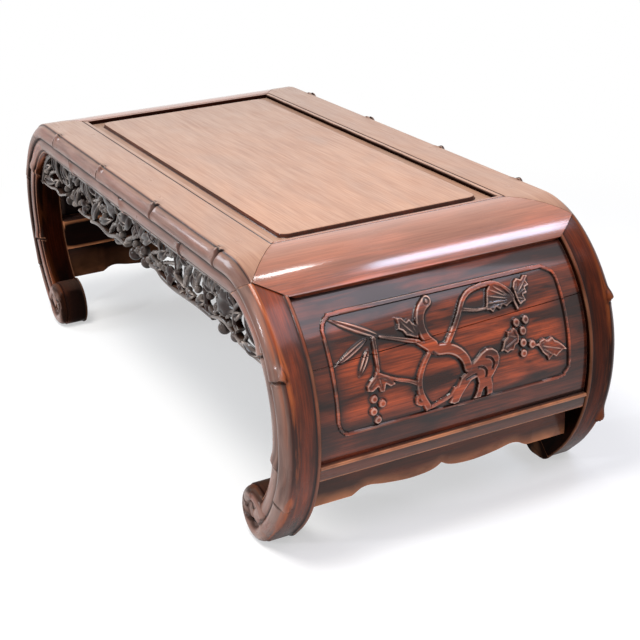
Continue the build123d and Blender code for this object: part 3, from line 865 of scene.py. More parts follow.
class KANG_OT_legs(bpy.types.Operator):
    """Four legs with bamboo rods and scrolled feet"""

    bl_idname = "kang.legs"
    bl_label = "Legs"

    def execute(self, context):
        outer_joints = [(distance_at_height(height), -1) for height in LEG_JOINTS]
        thin_joints = [(distance_at_height(height), -1) for height in LEG_THIN_JOINTS]
        along = stations(CROWN_START, ANKLE_END, 3.0, outer_joints + thin_joints)
        bud = sizes().bud_height / MM
        skin = Skin(
            *moulding_rows(along, leg_section(), outer_joints, thin_joints, bud, LEG_SHEATH)
        )
        tongue(skin)
        scroll_disc(skin)
        cuts = [(SHOULDER_CORNER, normal, False) for normal in (SPLICE_NORMAL, LEG_MITRE_NORMAL)]
        for near, near_turn in reversed(LONG_SIDES):
            shade = BACK_LEG_DARKENING if near == "back" else 0.0
            for side, turn in ENDS:
                name = "leg_" + near + "_" + side
                turn = (turn[0], near_turn[1], 1)
                make_piece(skin, name, "_scrolled", "leg", "leg_wood", turn, cuts, shade=shade)
        return {"FINISHED"}


# ---- End boards with their relief ----
def blade(y, z, root, tip, width, height):
    """Height of a pointed leaf with a sunk midrib."""
    root, tip = np.array(root, float), np.array(tip, float)
    run = tip - root
    length = np.linalg.norm(run)
    share = ((y - root[0]) * run[0] + (z - root[1]) * run[1]) / length**2
    away = ((z - root[1]) * run[0] - (y - root[0]) * run[1]) / length
    half = width / 2 * np.sin(pi * np.clip(share, 0, 1) ** 0.8) ** 0.8 + 1e-6
    inside = np.clip(1 - (away / half) ** 2, 0, 1)
    inside = np.where((share > 0) & (share < 1), inside, 0)
    midrib = 0.45 * np.exp(-((away / (0.14 * width)) ** 2))
    body = np.sqrt(inside) * (0.72 + 0.28 * np.abs(away) / half)
    return height * np.clip(body - midrib * (inside > 0), 0, 1)


def dome(y, z, centre, radius, height):
    """Height of a round grape."""
    square = ((y - centre[0]) ** 2 + (z - centre[1]) ** 2) / radius**2
    return height * np.sqrt(np.clip(1 - square, 0, 1))


def within(y, z, outline):
    """How deep places lie inside a closed outline, and nought outside it."""
    away = np.full(np.shape(y), 1e6)
    inside = np.zeros(np.shape(y), bool)
    for index, end in enumerate(outline):
        (ay, az), (by, bz) = outline[index - 1], end
        away = np.minimum(away, nearest(y, z, (ay, az), (by, bz))[1])
        if az != bz:
            inside ^= ((az > z) != (bz > z)) & (y < ay + (by - ay) * (z - az) / (bz - az))
    return np.where(inside, away, 0)


def plate(y, z, outline, height):
    """Height of a flat-topped shape with steep, softened sides."""
    return height * np.clip(within(y, z, outline) / 1.5, 0, 1) ** 0.6


def vine_leaf(y, z, outline, root, tips):
    """Height of a grape leaf, with a raised rim and veins from its stalk to the tips."""
    depth = within(y, z, outline)
    body = np.clip(depth / 1.2, 0, 1) ** 0.6 * (0.84 - 0.3 * np.clip((depth - 1.4) / 2.5, 0, 1))
    for tip in tips:
        vein = 0.56 + 0.24 * ridge(y, z, smooth_line((root, tip), 9.0), 2.0, 1.0)
        body = np.where(depth > 1.2, np.maximum(body, vein * (vein > 0.561)), body)
    return body


def slab(y, z, line, width, height):
    """Height of a flat-topped ridge with steep sides."""
    return height * np.clip(2.4 * ridge(y, z, line, width, 1.0), 0, 1) ** 0.8


# The relief as seen from outside the right end: places are Y and height, in millimetres.
# Its framing bead comes first.
RELIEF_FRAME = (
    (-150, 170), (-150, 200), (-150, 256), (-149, 266), (-146, 271), (-140, 275), (-130, 276.5),
    (-60, 276.5), (60, 276.5), (124, 276.5), (134, 275.5), (139, 273), (144, 270), (147, 264),
    (147.5, 254), (147.5, 220), (147.5, 172), (146, 164), (141, 158), (133, 154.5), (60, 154),
    (-40, 155), (-132, 155), (-141, 156.5), (-147, 161), (-150, 170),
)
# Root, tip and width of the narrow bamboo leaves.
RELIEF_BLADES = (
    (-86, 247, -141, 273, 8.0), (-102, 249, -148, 229, 6.5), (-104, 239, -122, 213, 7.0),
)
# Outline, stalk and vein ends of the grape leaves.
RELIEF_LEAVES = (
    (((46.7, 247.3), (46.3, 250.7), (49, 255), (51.3, 261), (54, 266), (59, 270), (66, 271.5),
      (72, 270), (79, 267), (84, 262), (87, 256), (86, 250), (81, 249.5), (77, 248), (73, 246),
      (69, 249), (64.5, 244.5), (60, 248), (54.7, 243.7), (51, 247)),
     (85, 252),
     ((51, 261), (61, 270), (48, 248), (64.5, 246), (76, 268), (55, 245), (55, 267), (74, 247),
      (47, 254))),
    (((87.3, 263), (90.7, 268.3), (95.7, 271), (100.7, 269), (105.7, 272.5), (113, 271),
      (107.3, 266.5), (109.5, 261.5), (103.5, 260), (103.8, 254.5), (98.7, 254), (100.5, 248),
      (95.7, 246.7), (90.7, 244.5), (88.3, 250), (87.3, 256.7)),
     (88, 254), ((111, 271), (108, 261.5), (99.5, 248.5), (96, 270))),
    (((81.5, 215), (79.5, 222), (75.7, 226), (71.3, 222.7), (66.5, 223), (64.7, 217), (60, 214),
      (58, 208.3), (53.5, 202), (59, 203.3), (63.5, 199.5), (68, 201.5), (72.3, 200.5),
      (75, 206), (80, 208)),
     (80, 213.5), ((55, 203), (71.5, 201.5), (66, 219), (75, 223))),
    (((103.3, 200), (107.3, 204.5), (113.3, 206.3), (118, 203.5), (124.5, 206), (128, 201.2),
      (132.5, 199), (138.5, 194), (145, 186.5), (137.3, 187.3), (132, 184), (128.5, 180.8),
      (124, 184), (117.5, 178.5), (115, 185), (110.5, 189), (107.3, 194)),
     (104, 200), ((143, 187), (125, 204), (118, 181), (128, 182))),
    (((-43.3, 236.7), (-41, 243.3), (-42, 250), (-46, 253.5), (-48.5, 258), (-53.3, 255.7),
      (-57, 260), (-64.5, 261.5), (-63.5, 255), (-65.5, 250), (-60, 247), (-57.5, 242.5),
      (-51, 240)),
     (-43.5, 238), ((-63, 260), (-48.5, 256), (-63, 250))),
    (((-102, 216), (-96, 214), (-89, 210), (-83, 204.5), (-78.5, 198), (-86, 196.3), (-91, 200),
      (-93.5, 192.5), (-99.5, 193.5), (-101, 199), (-107.7, 195.5), (-114.5, 197), (-114.3, 203),
      (-109.3, 208), (-104.3, 211)),
     (-99, 211), ((-112, 199), (-96.5, 195), (-82, 199.5))),
)
# Outline of the rock.
RELIEF_ROCK = (
    (-15, 160), (-10, 171), (-4, 178), (1, 187), (7, 190), (14, 198), (21, 202), (29, 208),
    (37, 211.5), (45, 210.5), (51, 206), (53.5, 198), (51, 190), (46, 183), (41, 177), (43, 170),
    (42.5, 158), (34, 157), (33, 168), (30, 166), (27, 157), (16, 157), (20.5, 166), (22.5, 175),
    (21, 181.5), (15, 180), (9, 174), (3, 167), (-2, 158), (-8, 157),
)
# Line and widths of the branches.
RELIEF_STEMS = (
    (((-88, 247.5), (-66, 241), (-45, 234.5)), (3.5, 6.0)),
    (((-96, 247), (-97.5, 232), (-98.5, 216)), (6.0, 5.0)),
    (((-47, 235), (-38, 229), (-29, 223)), (5.5, 10.0)),
    (((-27, 228), (-34, 235), (-37.5, 246), (-36, 256), (-30, 264), (-21, 269)), (12.5, 11.0)),
    (((-24, 222), (-9, 220), (2, 214), (9, 205), (11, 196)), (13.0, 12.5)),
    (((-35, 220), (-43, 211), (-49, 200), (-51, 190), (-49, 178), (-42, 164)), (6.0, 9.5)),
    (((-51, 191), (-62, 197), (-79, 203), (-93, 210), (-101, 214)), (5.5, 3.6)),
    (((-13, 222), (-7, 229), (1, 238), (11, 250), (21, 262), (34, 269), (57, 271.5), (71, 269),
      (81, 259), (86, 243)), (7.5, 3.6)),
    (((18, 254), (34, 250.5), (49, 250)), (4.5, 3.2)),
    (((-43, 160), (-26, 164), (-12, 169), (-6, 176)), (4.0, 4.5)),
    (((-54, 177), (-54.5, 171), (-49, 168)), (5.0, 6.0)),
    (((101, 201), (104, 200.5)), (3.0, 3.0)),
)
# Grooves in the rock, and the last one in the branch.
RELIEF_CUTS = (
    ((24, 193), (30, 192), (34, 187), (33, 181)),
    ((35, 202), (41, 200), (44, 194), (42, 188)),
    ((8, 183), (15, 185), (20, 186)),
    ((-30, 221), (-24, 216)),
)
# Middle of the ring on the cut end of the branch, and of each grape.
RELIEF_STUMP = (-22.5, 268.5)
RELIEF_BERRIES = (
    (80.7, 229.3), (93, 230), (87.3, 219.3), (85.7, 206.7), (97.3, 202.7), (85, 195),
    (-107, 187.7), (-97.3, 180.7), (-108.3, 174), (-103.3, 163.3),
)


def relief(y, z):
    """Height of the end carving, in shares of its full height."""
    height = slab(y, z, smooth_line(RELIEF_FRAME, 4.0), 3.9, 0.5)
    height = np.maximum(height, plate(y, z, RELIEF_ROCK, 0.85))
    for line in RELIEF_CUTS[:3]:
        height -= np.minimum(ridge(y, z, smooth_line(line, 3.0), 2.6, 0.4), height)
    for outline, root, tips in RELIEF_LEAVES:
        height = np.maximum(height, vine_leaf(y, z, outline, root, tips))
    for root_y, root_z, tip_y, tip_z, width in RELIEF_BLADES:
        height = np.maximum(height, blade(y, z, (root_y, root_z), (tip_y, tip_z), width, 0.85))
    for line, (start, end) in RELIEF_STEMS:
        line = smooth_line(line, 4.0)
        widths = np.linspace(start, end, len(line))
        crest = 0.66 + 0.03 * min(max(start, end), 10)
        height = np.maximum(height, crest * np.clip(1.35 * ridge(y, z, line, widths, 1.0), 0, 1))
    height -= np.minimum(ridge(y, z, smooth_line(RELIEF_CUTS[3], 3.0), 1.8, 0.4), height)
    ring = np.hypot(y - RELIEF_STUMP[0], z - RELIEF_STUMP[1])
    height -= 0.25 * np.exp(-(((ring - 3.0) / 0.8) ** 2)) * (height > 0.4)
    for centre in RELIEF_BERRIES:
        berry = dome(y, z, centre, 5.2, 1.0)
        ring = np.hypot(y - centre[0], z - centre[1])
        berry -= 0.3 * np.exp(-((ring / 2.3) ** 2))
        height = np.maximum(height, berry)
    return np.clip(height, 0, 1)


def board_patina(height, y, z):
    """Old polish beside the relief and along its frame, as shares from nought to one."""
    near = np.clip(height * 6, 0, 1)
    for _ in range(34):
        beside = sum(np.roll(near, step, axis) for step in (1, -1) for axis in (0, 1))
        near = (near + beside) / 5
    inside = within(y, z, RELIEF_FRAME)
    border = np.where(inside > 0, 0.9 * np.exp(-inside / 12), 0.56)
    corner = 0.22 * np.exp(-(((y + 95) / 45) ** 2) - (((z - 268) / 14) ** 2))
    dark = np.maximum(np.clip((near - 0.05) * 2.6, 0, 1), border + corner)
    return np.clip(dark, 0, 1) * (1 - 0.88 * np.clip(height * 2.2, 0, 1))


class KANG_OT_end_boards(bpy.types.Operator):
    """Curved end boards with relief, split by the glue seam"""

    bl_idname = "kang.end_boards"
    bl_label = "End boards"

    def execute(self, context):
        along = np.arange(
            LIP_END - BOARD_UNDER_LIP, distance_at_height(RAIL_TOP - BOARD_IN_RAIL), RELIEF_STEP
        )
        across = np.linspace(-MOULDING_Y - 0.6, MOULDING_Y + 0.6, 410)
        inner = across[::-1][::16]
        grid = np.meshgrid(across, walk(along, PANEL_SETBACK)[1])
        height = relief(*grid)
        unseen = np.ones((len(along), len(inner)))
        # The inner face of each board takes the full patina colour, as painted shade.
        patina = np.hstack([board_patina(height, *grid), unseen])
        rise = height * sizes().relief_height / MM
        depth = np.hstack([PANEL_SETBACK - rise, (PANEL_SETBACK + PANEL_THICKNESS) * unseen])
        place_y = np.concatenate([across, inner])
        grain = np.stack(np.broadcast_arrays(place_y, along[:, None], depth), 2)
        skin = Skin(swept(along, depth, place_y), grain)
        seam_point = Vector((0, 0, SEAM_HEIGHT))
        seam_normal = Vector((0, -SEAM_RISE, 2 * MOULDING_Y)).normalized()
        open_seam = seam_normal * (sizes().seam_gap / MM / 2)
        boards = {
            "upper": [(seam_point + open_seam, seam_normal, True)],
            "lower": [
                (seam_point - open_seam, seam_normal, False),
                (Vector((0, 0, RAIL_TOP)), Vector((0, 0, 1)), True),
            ],
        }
        for side, twin in (("right", skin), ("left", skin.mirrored(0))):
            for board, cuts in boards.items():
                name = "end_panel_" + board + "_" + side
                mesh = twin.mesh(name + "_carved")
                trim(mesh, [])
                mark_patina_wear_and_highlight(mesh, 4)
                hollow = mesh.attributes["hollow"].data
                narrow = np.empty(len(hollow))
                hollow.foreach_get("value", narrow)
                hollow.foreach_set("value", np.maximum(0.6 * narrow, patina.ravel()))
                trim(mesh, cuts)
                place_piece(mesh, wood("board"), "panel_wood", name, crease=60, halo=0)
        return {"FINISHED"}


# ---- Bottom rails and end aprons ----
class KANG_OT_bottom_rails(bpy.types.Operator):
    """Beaded rails under the end boards"""

    bl_idname = "kang.bottom_rails"
    bl_label = "Bottom rails"

    def execute(self, context):
        low = RAIL_TOP - RAIL_HEIGHT
        bead_low = distance_at_height(RAIL_TOP - BEAD_WIDTH)
        bead = np.linspace(distance_at_height(RAIL_TOP), bead_low, 7)
        swell = 1.6 * np.sin(np.linspace(0, pi, 7))
        outline = [walk(place, FACE_SINK - rise)[:2] for place, rise in zip(bead, swell)]
        face = np.linspace(bead_low + 1, distance_at_height(low), 6)
        outline += [walk(place, FACE_SINK + 0.4)[:2] for place in face]
        outline += [(RAIL_INNER_X, low), (RAIL_INNER_X, RAIL_TOP + REBATE_HEIGHT)]
        rebate_depth = PANEL_SETBACK + PANEL_THICKNESS + 0.3
        outline += [walk(distance_at_height(z), rebate_depth)[:2] for z in (150, 140, 132)]
        outline.append((outline[-1][0], RAIL_TOP))
        skin = bar_across(refine(soften(outline, 0.8, 2), 5.0), MOULDING_Y, 50)
        for side, turn in ENDS:
            make_piece(skin, "bottom_rail_" + side, "_beaded", "rail", "leg_wood", turn)
        return {"FINISHED"}


class KANG_OT_end_aprons(bpy.types.Operator):
    """Shaped boards under the bottom rails"""

    bl_idname = "kang.end_aprons"
    bl_label = "End aprons"

    def execute(self, context):
        edge = smooth_line(APRON_EDGE, 3.0)
        edge[:, 1] = np.maximum(edge[:, 1], APRON_CLEAR)
        half = [*edge, (MOULDING_Y, APRON_CLEAR)]
        top = RAIL_TOP - RAIL_HEIGHT
        outer, inner, soft = APRON_X, APRON_X - APRON_THICKNESS, 0.9
        rows = []
        for y, z in [(-y, z) for y, z in half[::-1]] + half[1:]:
            ring = [(outer - soft, y, z), (outer - soft / 4, y, z + soft / 4), (outer, y, z + soft)]
            ring += [(outer, y, z + (top - z) * share) for share in (0.35, 0.7, 1.0)]
            ring += [(inner, y, top), (inner, y, z + soft), (inner + soft, y, z)]
            rows.append(ring)
        rows = np.array(rows)
        skin = Skin(rows, rows[:, :, [1, 2, 0]])
        for side, turn in ENDS:
            name, shade = "end_apron_" + side, END_APRON_DARKENING
            make_piece(skin, name, "_shaped", "rail", "leg_wood", turn, shade=shade)
        return {"FINISHED"}


# ---- Pierced long aprons ----
# The openwork as seen from the front: places are X and height, in millimetres.
# Line and width of the moulded edges.
CARVED_BEADS = (
    (((-430, 226), (-418, 240), (-404, 254), (-386, 267), (-366, 276), (-345, 281)), 7.0),
    (((-431, 225), (-400, 225), (-366, 226), (-340, 230), (-322, 226), (-302, 231),
      (-284, 236)), 6.0),
    (((430, 226), (418, 240), (404, 254), (386, 267), (366, 276), (345, 281)), 7.0),
    (((362, 281), (345, 276), (333, 267), (327, 256), (326, 246), (334, 239)), 7.0),
    (((338, 227), (366, 225), (396, 225), (431, 225)), 6.0),
    (((-228, 227), (-204, 226), (-176, 229)), 6.0),
    (((-174, 225), (-140, 229), (-100, 226), (-66, 233), (-30, 232)), 7.0),
    (((62, 232), (84, 234), (104, 228), (140, 226), (178, 228), (214, 230), (262, 230)), 7.0),
    (((262, 232), (292, 238), (318, 234), (340, 228)), 6.0),
)
# Line and half thickness of the stems.
CARVED_STEMS = (
    (((-373, 232), (-369, 246), (-352, 254), (-330, 261), (-304, 272), (-296, 283)), 2.6),
    (((-304, 252), (-280, 250), (-262, 262), (-250, 284)), 2.6),
    (((-232, 253), (-214, 262), (-200, 275), (-193, 284)), 2.8),
    (((-213, 228), (-208, 242), (-190, 249), (-172, 257), (-150, 262), (-128, 270),
      (-112, 284)), 2.6),
    (((-100, 228), (-84, 244), (-66, 252), (-52, 266), (-34, 275), (-12, 283)), 3.0),
    (((-30, 236), (-14, 246), (2, 252), (20, 262), (38, 283)), 2.8),
    (((56, 240), (74, 252), (98, 260), (118, 263), (146, 270), (160, 284)), 2.8),
    (((110, 250), (132, 256), (156, 262)), 2.4),
    (((168, 229), (158, 240), (155, 256), (152, 284)), 4.4),
    (((176, 240), (188, 262), (204, 276), (222, 284)), 2.6),
    (((213, 248), (219, 266), (230, 284)), 2.6),
    (((244, 229), (240, 246), (241, 264), (246, 284)), 4.0),
    (((262, 236), (280, 246), (300, 250), (330, 256)), 2.6),
    (((300, 252), (290, 268), (286, 284)), 2.4),
    (((346, 232), (358, 246), (372, 262), (384, 270)), 2.6),
    (((-420, 230), (-398, 236), (-372, 236)), 2.6),
)
# Root, tip and width of the narrow leaves.
CARVED_LEAVES = (
    (-354, 236, -410, 231, 10), (-337, 283, -330, 252, 13), (-322, 283, -310, 246, 14),
    (-300, 283, -286, 250, 13), (-330, 246, -345, 233, 9), (-247, 284, -274, 248, 12),
    (-262, 268, -228, 273, 10), (-270, 262, -300, 284, 11), (-242, 230, -224, 262, 10),
    (-194, 284, -224, 250, 12), (-188, 284, -194, 250, 12), (-182, 284, -158, 248, 13),
    (-176, 284, -140, 268, 11), (-172, 228, -134, 266, 15), (-144, 234, -94, 248, 10),
    (-124, 284, -150, 258, 11), (-62, 284, -52, 262, 10), (-84, 228, -34, 234, 11),
    (-6, 284, -38, 250, 18), (4, 270, 40, 283, 14), (46, 285, 12, 254, 14),
    (72, 272, 22, 252, 13), (60, 285, 92, 262, 12), (104, 284, 98, 260, 10),
    (140, 284, 104, 262, 10), (150, 284, 128, 262, 10), (170, 284, 196, 268, 11),
    (176, 248, 202, 284, 10), (200, 245, 208, 270, 11), (100, 240, 60, 232, 10),
    (206, 238, 178, 232, 10), (228, 284, 212, 252, 10), (262, 284, 250, 260, 11),
    (284, 286, 262, 260, 12), (266, 262, 236, 272, 10), (236, 240, 206, 230, 10),
    (352, 266, 388, 232, 13), (370, 268, 396, 240, 12), (388, 229, 344, 231, 9),
    (312, 284, 332, 262, 11), (-360, 262, -384, 250, 8), (130, 236, 106, 246, 9),
    (20, 284, 34, 256, 11), (64, 250, 92, 240, 10), (120, 268, 96, 250, 10),
    (176, 280, 150, 252, 12),
    (190, 262, 176, 240, 9), (232, 276, 206, 262, 10), (256, 276, 282, 260, 10),
    (296, 280, 272, 264, 11), (250, 240, 276, 234, 9), (316, 262, 296, 240, 10),
    (340, 262, 318, 248, 9), (-20, 262, -50, 268, 10), (-4, 250, 12, 272, 10),
    (86, 284, 66, 268, 10), (146, 250, 172, 238, 10), (-110, 262, -136, 252, 10),
    (-236, 262, -216, 284, 10), (-290, 262, -316, 262, 9), (-160, 284, -172, 262, 9),
)
# Middle, length, width and tilt in degrees of the broad leaves.
CARVED_BROAD = (
    (-88, 271, 40, 26, 4), (303, 263, 50, 21, 3), (130, 240, 24, 18, 10), (-200, 240, 22, 16, 8),
)
# Place and scale of the grapes.
CARVED_BERRIES = (
    (-276, 229, 1.3), (-262, 238, 1.0), (-249, 247, 1.1), (-246, 234, 0.9), (-258, 228, 0.8),
    (-287, 244, 0.9), (-125, 257, 0.9), (-115, 249, 0.9), (-108, 259, 0.8), (-46, 254, 1.2),
    (-58, 246, 0.9), (-48, 241, 0.9), (-24, 240, 0.8), (0, 229, 1.6), (14, 237, 1.1),
    (5, 243, 1.0), (37, 244, 1.2), (40, 229, 1.5), (26, 236, 0.9), (52, 236, 0.9),
    (97, 254, 1.0), (110, 243, 0.9), (98, 243, 0.9), (184, 238, 0.8), (217, 250, 0.9),
    (226, 242, 0.8), (244, 265, 1.1), (254, 254, 0.9), (274, 247, 1.0), (294, 248, 1.1),
    (284, 236, 1.0), (290, 227, 1.4), (324, 229, 1.3), (310, 238, 0.9), (-226, 238, 0.8),
    (-340, 270, 0.8), (364, 250, 0.8), (-392, 246, 0.8),
)


def leaf_shape(name, broad):
    """One carved leaf, a unit long and wide, that grows along X and faces -Y."""
    sides = np.linspace(-1, 1, 9)
    rows = []
    for share in np.linspace(0, 1, 13):
        if broad:
            half = 0.5 * sin(pi * min(max(share, 0.02), 0.98)) ** 0.5 * (1 + 0.16 * cos(share * 19))
        else:
            half = 0.5 * sin(pi * min(max(share, 0.015), 0.985) ** 0.8) ** 0.85
        lift = 0.24 * sin(pi * share) + 0.08 * sin(5 * share)
        ring = []
        for side in sides:
            midrib = 0.16 * np.exp(-((side / 0.2) ** 2))
            ring.append((share, -lift - 0.16 * (1 - side**2) ** 0.5 + midrib, side * half))
        for side in sides[-2:0:-1]:
            ring.append((share, 0.34 * (1 - side**2) ** 0.5 - 0.3 * lift, side * half))
        rows.append(ring)
    skin = Skin(rows, rows)
    mesh = skin.mesh(name)
    mesh.transform(Matrix.Scale(1 / MM, 4))
    trim(mesh, [])
    mesh.shade_smooth()
    return bpy.data.objects.new(name, mesh)


def berry_shape():
    """One carved grape of unit radius, with a small dimple at its front."""
    mesh = bpy.data.meshes.new("grape")
    work = bmesh.new()
    bmesh.ops.create_icosphere(work, subdivisions=3, radius=1.0)
    for vert in work.verts:
        off = (vert.co - Vector((0, -1, 0))).length
        vert.co.y += 0.16 * np.exp(-((off / 0.2) ** 2))
    work.to_mesh(mesh)
    work.free()
    mesh.shade_smooth()
    return bpy.data.objects.new("grape", mesh)


def end_tree(tree, geometry, given, outside):
    """Ends a tree: makes its instances real, sets the finish and gives the geometry out."""
    real = add_node(tree, "GeometryNodeRealizeInstances", {"Geometry": geometry})
    finished = add_node(
        tree, "GeometryNodeSetMaterial",
        {"Geometry": real.outputs["Geometry"], "Material": given["Finish"]},
    )
    set_inputs(tree, outside, {"Geometry": finished.outputs["Geometry"]})
    return tree


def on_points_tree():
    """Geometry nodes that set a shape on every point, turned and sized by the point's values."""
    tree, given, outside = new_group(
        "set_on_points", "GeometryNodeTree",
        [("Points", "Geometry"), ("Shape", "Object"), ("Size", "Float"), ("Finish", "Material")],
        [("Geometry", "Geometry")],
    )
    shape = add_node(
        tree, "GeometryNodeObjectInfo", {"Object": given["Shape"], "As Instance": True},
        transform_space="ORIGINAL",
    )
    turn, size = (
        add_node(tree, "GeometryNodeInputNamedAttribute", {"Name": name}, data_type="FLOAT_VECTOR")
        for name in ("turn", "size")
    )
    scaled = add_node(
        tree, "ShaderNodeVectorMath", {0: size.outputs["Attribute"], "Scale": given["Size"]},
        operation="SCALE",
    )
    instance = add_node(
        tree, "GeometryNodeInstanceOnPoints",
        {
            "Points": given["Points"], "Instance": shape.outputs["Geometry"],
            "Rotation": turn.outputs["Attribute"], "Scale": scaled.outputs["Vector"],
        },
    )
    return end_tree(tree, instance.outputs["Instances"], given, outside)


def vine_tree():
    """Geometry nodes that turn lines with a thickness into round stems."""
    tree, given, outside = new_group(
        "stems_on_lines", "GeometryNodeTree",
        [("Lines", "Geometry"), ("Sides", "Int"), ("Finish", "Material")],
        [("Geometry", "Geometry")],
    )
    curve = add_node(tree, "GeometryNodeMeshToCurve", {"Mesh": given["Lines"]})
    thickness = add_node(
        tree, "GeometryNodeInputNamedAttribute", {"Name": "thickness"}, data_type="FLOAT"
    )
    ring = add_node(
        tree, "GeometryNodeCurvePrimitiveCircle", {"Resolution": given["Sides"], "Radius": 1.0}
    )
    skin = add_node(
        tree, "GeometryNodeCurveToMesh",
        {
            "Curve": curve.outputs["Curve"], "Profile Curve": ring.outputs["Curve"],
            "Scale": thickness.outputs["Attribute"], "Fill Caps": True,
        },
    )
    return end_tree(tree, skin.outputs["Mesh"], given, outside)


def take_grown(skin, mesh, tree, **settings):
    """Runs a tree on a mesh and adds the result to a skin."""
    carrier = bpy.data.objects.new("carrier", mesh)
    bpy.context.scene.collection.objects.link(carrier)
    modifier = carrier.modifiers.new("grow", "NODES")
    modifier.node_group = tree
    for socket in tree.interface.items_tree:
        if socket.in_out == "INPUT" and socket.name in settings:
            modifier[socket.identifier] = settings[socket.name]
    graph = bpy.context.evaluated_depsgraph_get()
    grown = bpy.data.meshes.new_from_object(carrier.evaluated_get(graph), depsgraph=graph)
    carrier.modifiers.remove(modifier)
    bpy.data.objects.remove(carrier)
    place = point_values(grown, "co") / MM
    skin.add(place, [tuple(polygon.vertices) for polygon in grown.polygons], place)
    bpy.data.meshes.remove(grown)


def points_mesh(places, turns, scales):
    """Loose points that carry a turn and a size."""
    mesh = bpy.data.meshes.new("points")
    mesh.from_pydata([tuple(np.array(place) * MM) for place in places], [], [])
    keep_values(mesh, "turn", turns)
    keep_values(mesh, "size", scales)
    return mesh


def carved_beads(skin, middle_y):
    """Moulded edges of the openwork."""
    ring = np.linspace(0, 2 * pi, 16, endpoint=False)
    flat = np.sign(np.sin(ring)) * np.abs(np.sin(ring)) ** 0.7
    y = middle_y - flat * (CARVED_THICKNESS / 2 - 0.8)
    for points, width in CARVED_BEADS:
        rows = tube(smooth_line(points, 3.0), width / 2, ring, y)
        skin.add_rows(rows, rows)


def carved_strip(skin, middle_y):
    """Plain strip that carries the carving, along the rail and round the leg."""
    end = distance_at_height(CARVED_LOW + 1)
    along = np.concatenate([np.linspace(0, CROWN_START, 60), np.linspace(CROWN_START, end, 60)[1:]])
    along = np.concatenate([-along[:0:-1], along])
    half = CARVED_THICKNESS / 2 - 1.4
    depth = np.array([46.2, 46.2, 51.4, 52.6, 52.6, 51.4])
    off = np.array([-half, half, half, half - 1, 1 - half, -half])
    rows = swept(along, depth, middle_y - off)
    rows = rows[rows[:, :, 2].min(1) > CARVED_LOW - 4]
    skin.add_rows(rows, rows)


def carved_leaves(skin, middle_y, steady, tree, material):
    """Narrow and broad leaves of the openwork, each a little out of line."""
    for shapes, broad in ((CARVED_LEAVES, False), (CARVED_BROAD, True)):
        places, turns, scales = [], [], []
        for item in shapes:
            if broad:
                x, z, length, width, tilt = item
                angle = radians(tilt)
                x, z = x - length / 2 * cos(angle), z - length / 2 * sin(angle)
            else:
                x, z, tip_x, tip_z, width = item
                angle = np.arctan2(tip_z - z, tip_x - x)
                length = np.hypot(tip_x - x, tip_z - z)
            places.append((x, middle_y + steady.uniform(-2.2, 1.6), z))
            turns.append((steady.uniform(-0.25, 0.25), -angle, steady.uniform(-0.06, 0.06)))
            scales.append((length, 11.5, 1.3 * width))
        shape = leaf_shape("vine_leaf" if broad else "bamboo_leaf", broad)
        points = points_mesh(places, turns, scales)
        take_grown(skin, points, tree, Shape=shape, Size=MM, Finish=material)


def carved_berries(skin, middle_y, steady, tree, material):
    """Grapes of the openwork."""
    places = [(x, middle_y - steady.uniform(-0.5, 1.0), z) for x, z, scale in CARVED_BERRIES]
    turns = [(steady.uniform(-0.5, 0.5), 0, steady.uniform(-0.6, 0.6)) for _ in CARVED_BERRIES]
    points = points_mesh(places, turns, [(scale,) * 3 for x, z, scale in CARVED_BERRIES])
    radius = sizes().berry_radius
    take_grown(skin, points, tree, Shape=berry_shape(), Size=radius, Finish=material)


def carved_stems(skin, middle_y, material):
    """Stems of the openwork, with knots along them."""
    places, edges, thickness = [], [], []
    for points, half in CARVED_STEMS:
        first = len(places)
        for index, (x, z) in enumerate(smooth_line(points, 1.5)):
            places.append((x * MM, (middle_y - 1.0 + 1.2 * sin(x / 17)) * MM, z * MM))
            knot = 0.22 * np.exp(-(((index % 12) - 6) / 0.9) ** 2)
            thickness.append(half * (1 + knot) * MM)
        edges += [(step, step + 1) for step in range(first, len(places) - 1)]
    lines = bpy.data.meshes.new("lines")
    lines.from_pydata(places, edges, [])
    keep_values(lines, "thickness", thickness)
    take_grown(skin, lines, vine_tree(), Sides=12, Finish=material)


class KANG_OT_pierced_aprons(bpy.types.Operator):
    """Openwork of bamboo, leaves and grapes on the long sides"""

    bl_idname = "kang.pierced_aprons"
    bl_label = "Pierced aprons"

    def execute(self, context):
        middle_y = CARVED_THICKNESS / 2 - CARVED_FACE_Y
        material, tree = wood("carved"), on_points_tree()
        steady = np.random.default_rng(7)
        skin = Skin()
        carved_strip(skin, middle_y)
        carved_beads(skin, middle_y)
        carved_leaves(skin, middle_y, steady, tree, material)
        carved_berries(skin, middle_y, steady, tree, material)
        carved_stems(skin, middle_y, material)
        for side, turn in (("front", (1, 1, 1)), ("back", (1, -1, 1))):
            name = "pierced_apron_" + side
            make_piece(skin, name, "_carved", "carved", "carved_wood", turn, crease=50)
        return {"FINISHED"}


class KANG_OT_battens(bpy.types.Operator):
    """Finish of the dovetailed battens under the panel"""

    bl_idname = "kang.battens"
    bl_label = "Battens"

    def execute(self, context):
        for place in ("left", "middle", "right"):
            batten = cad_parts["panel_batten_" + place]
            batten.data.materials.clear()
            batten.data.materials.append(wood("inner"))
        return {"FINISHED"}


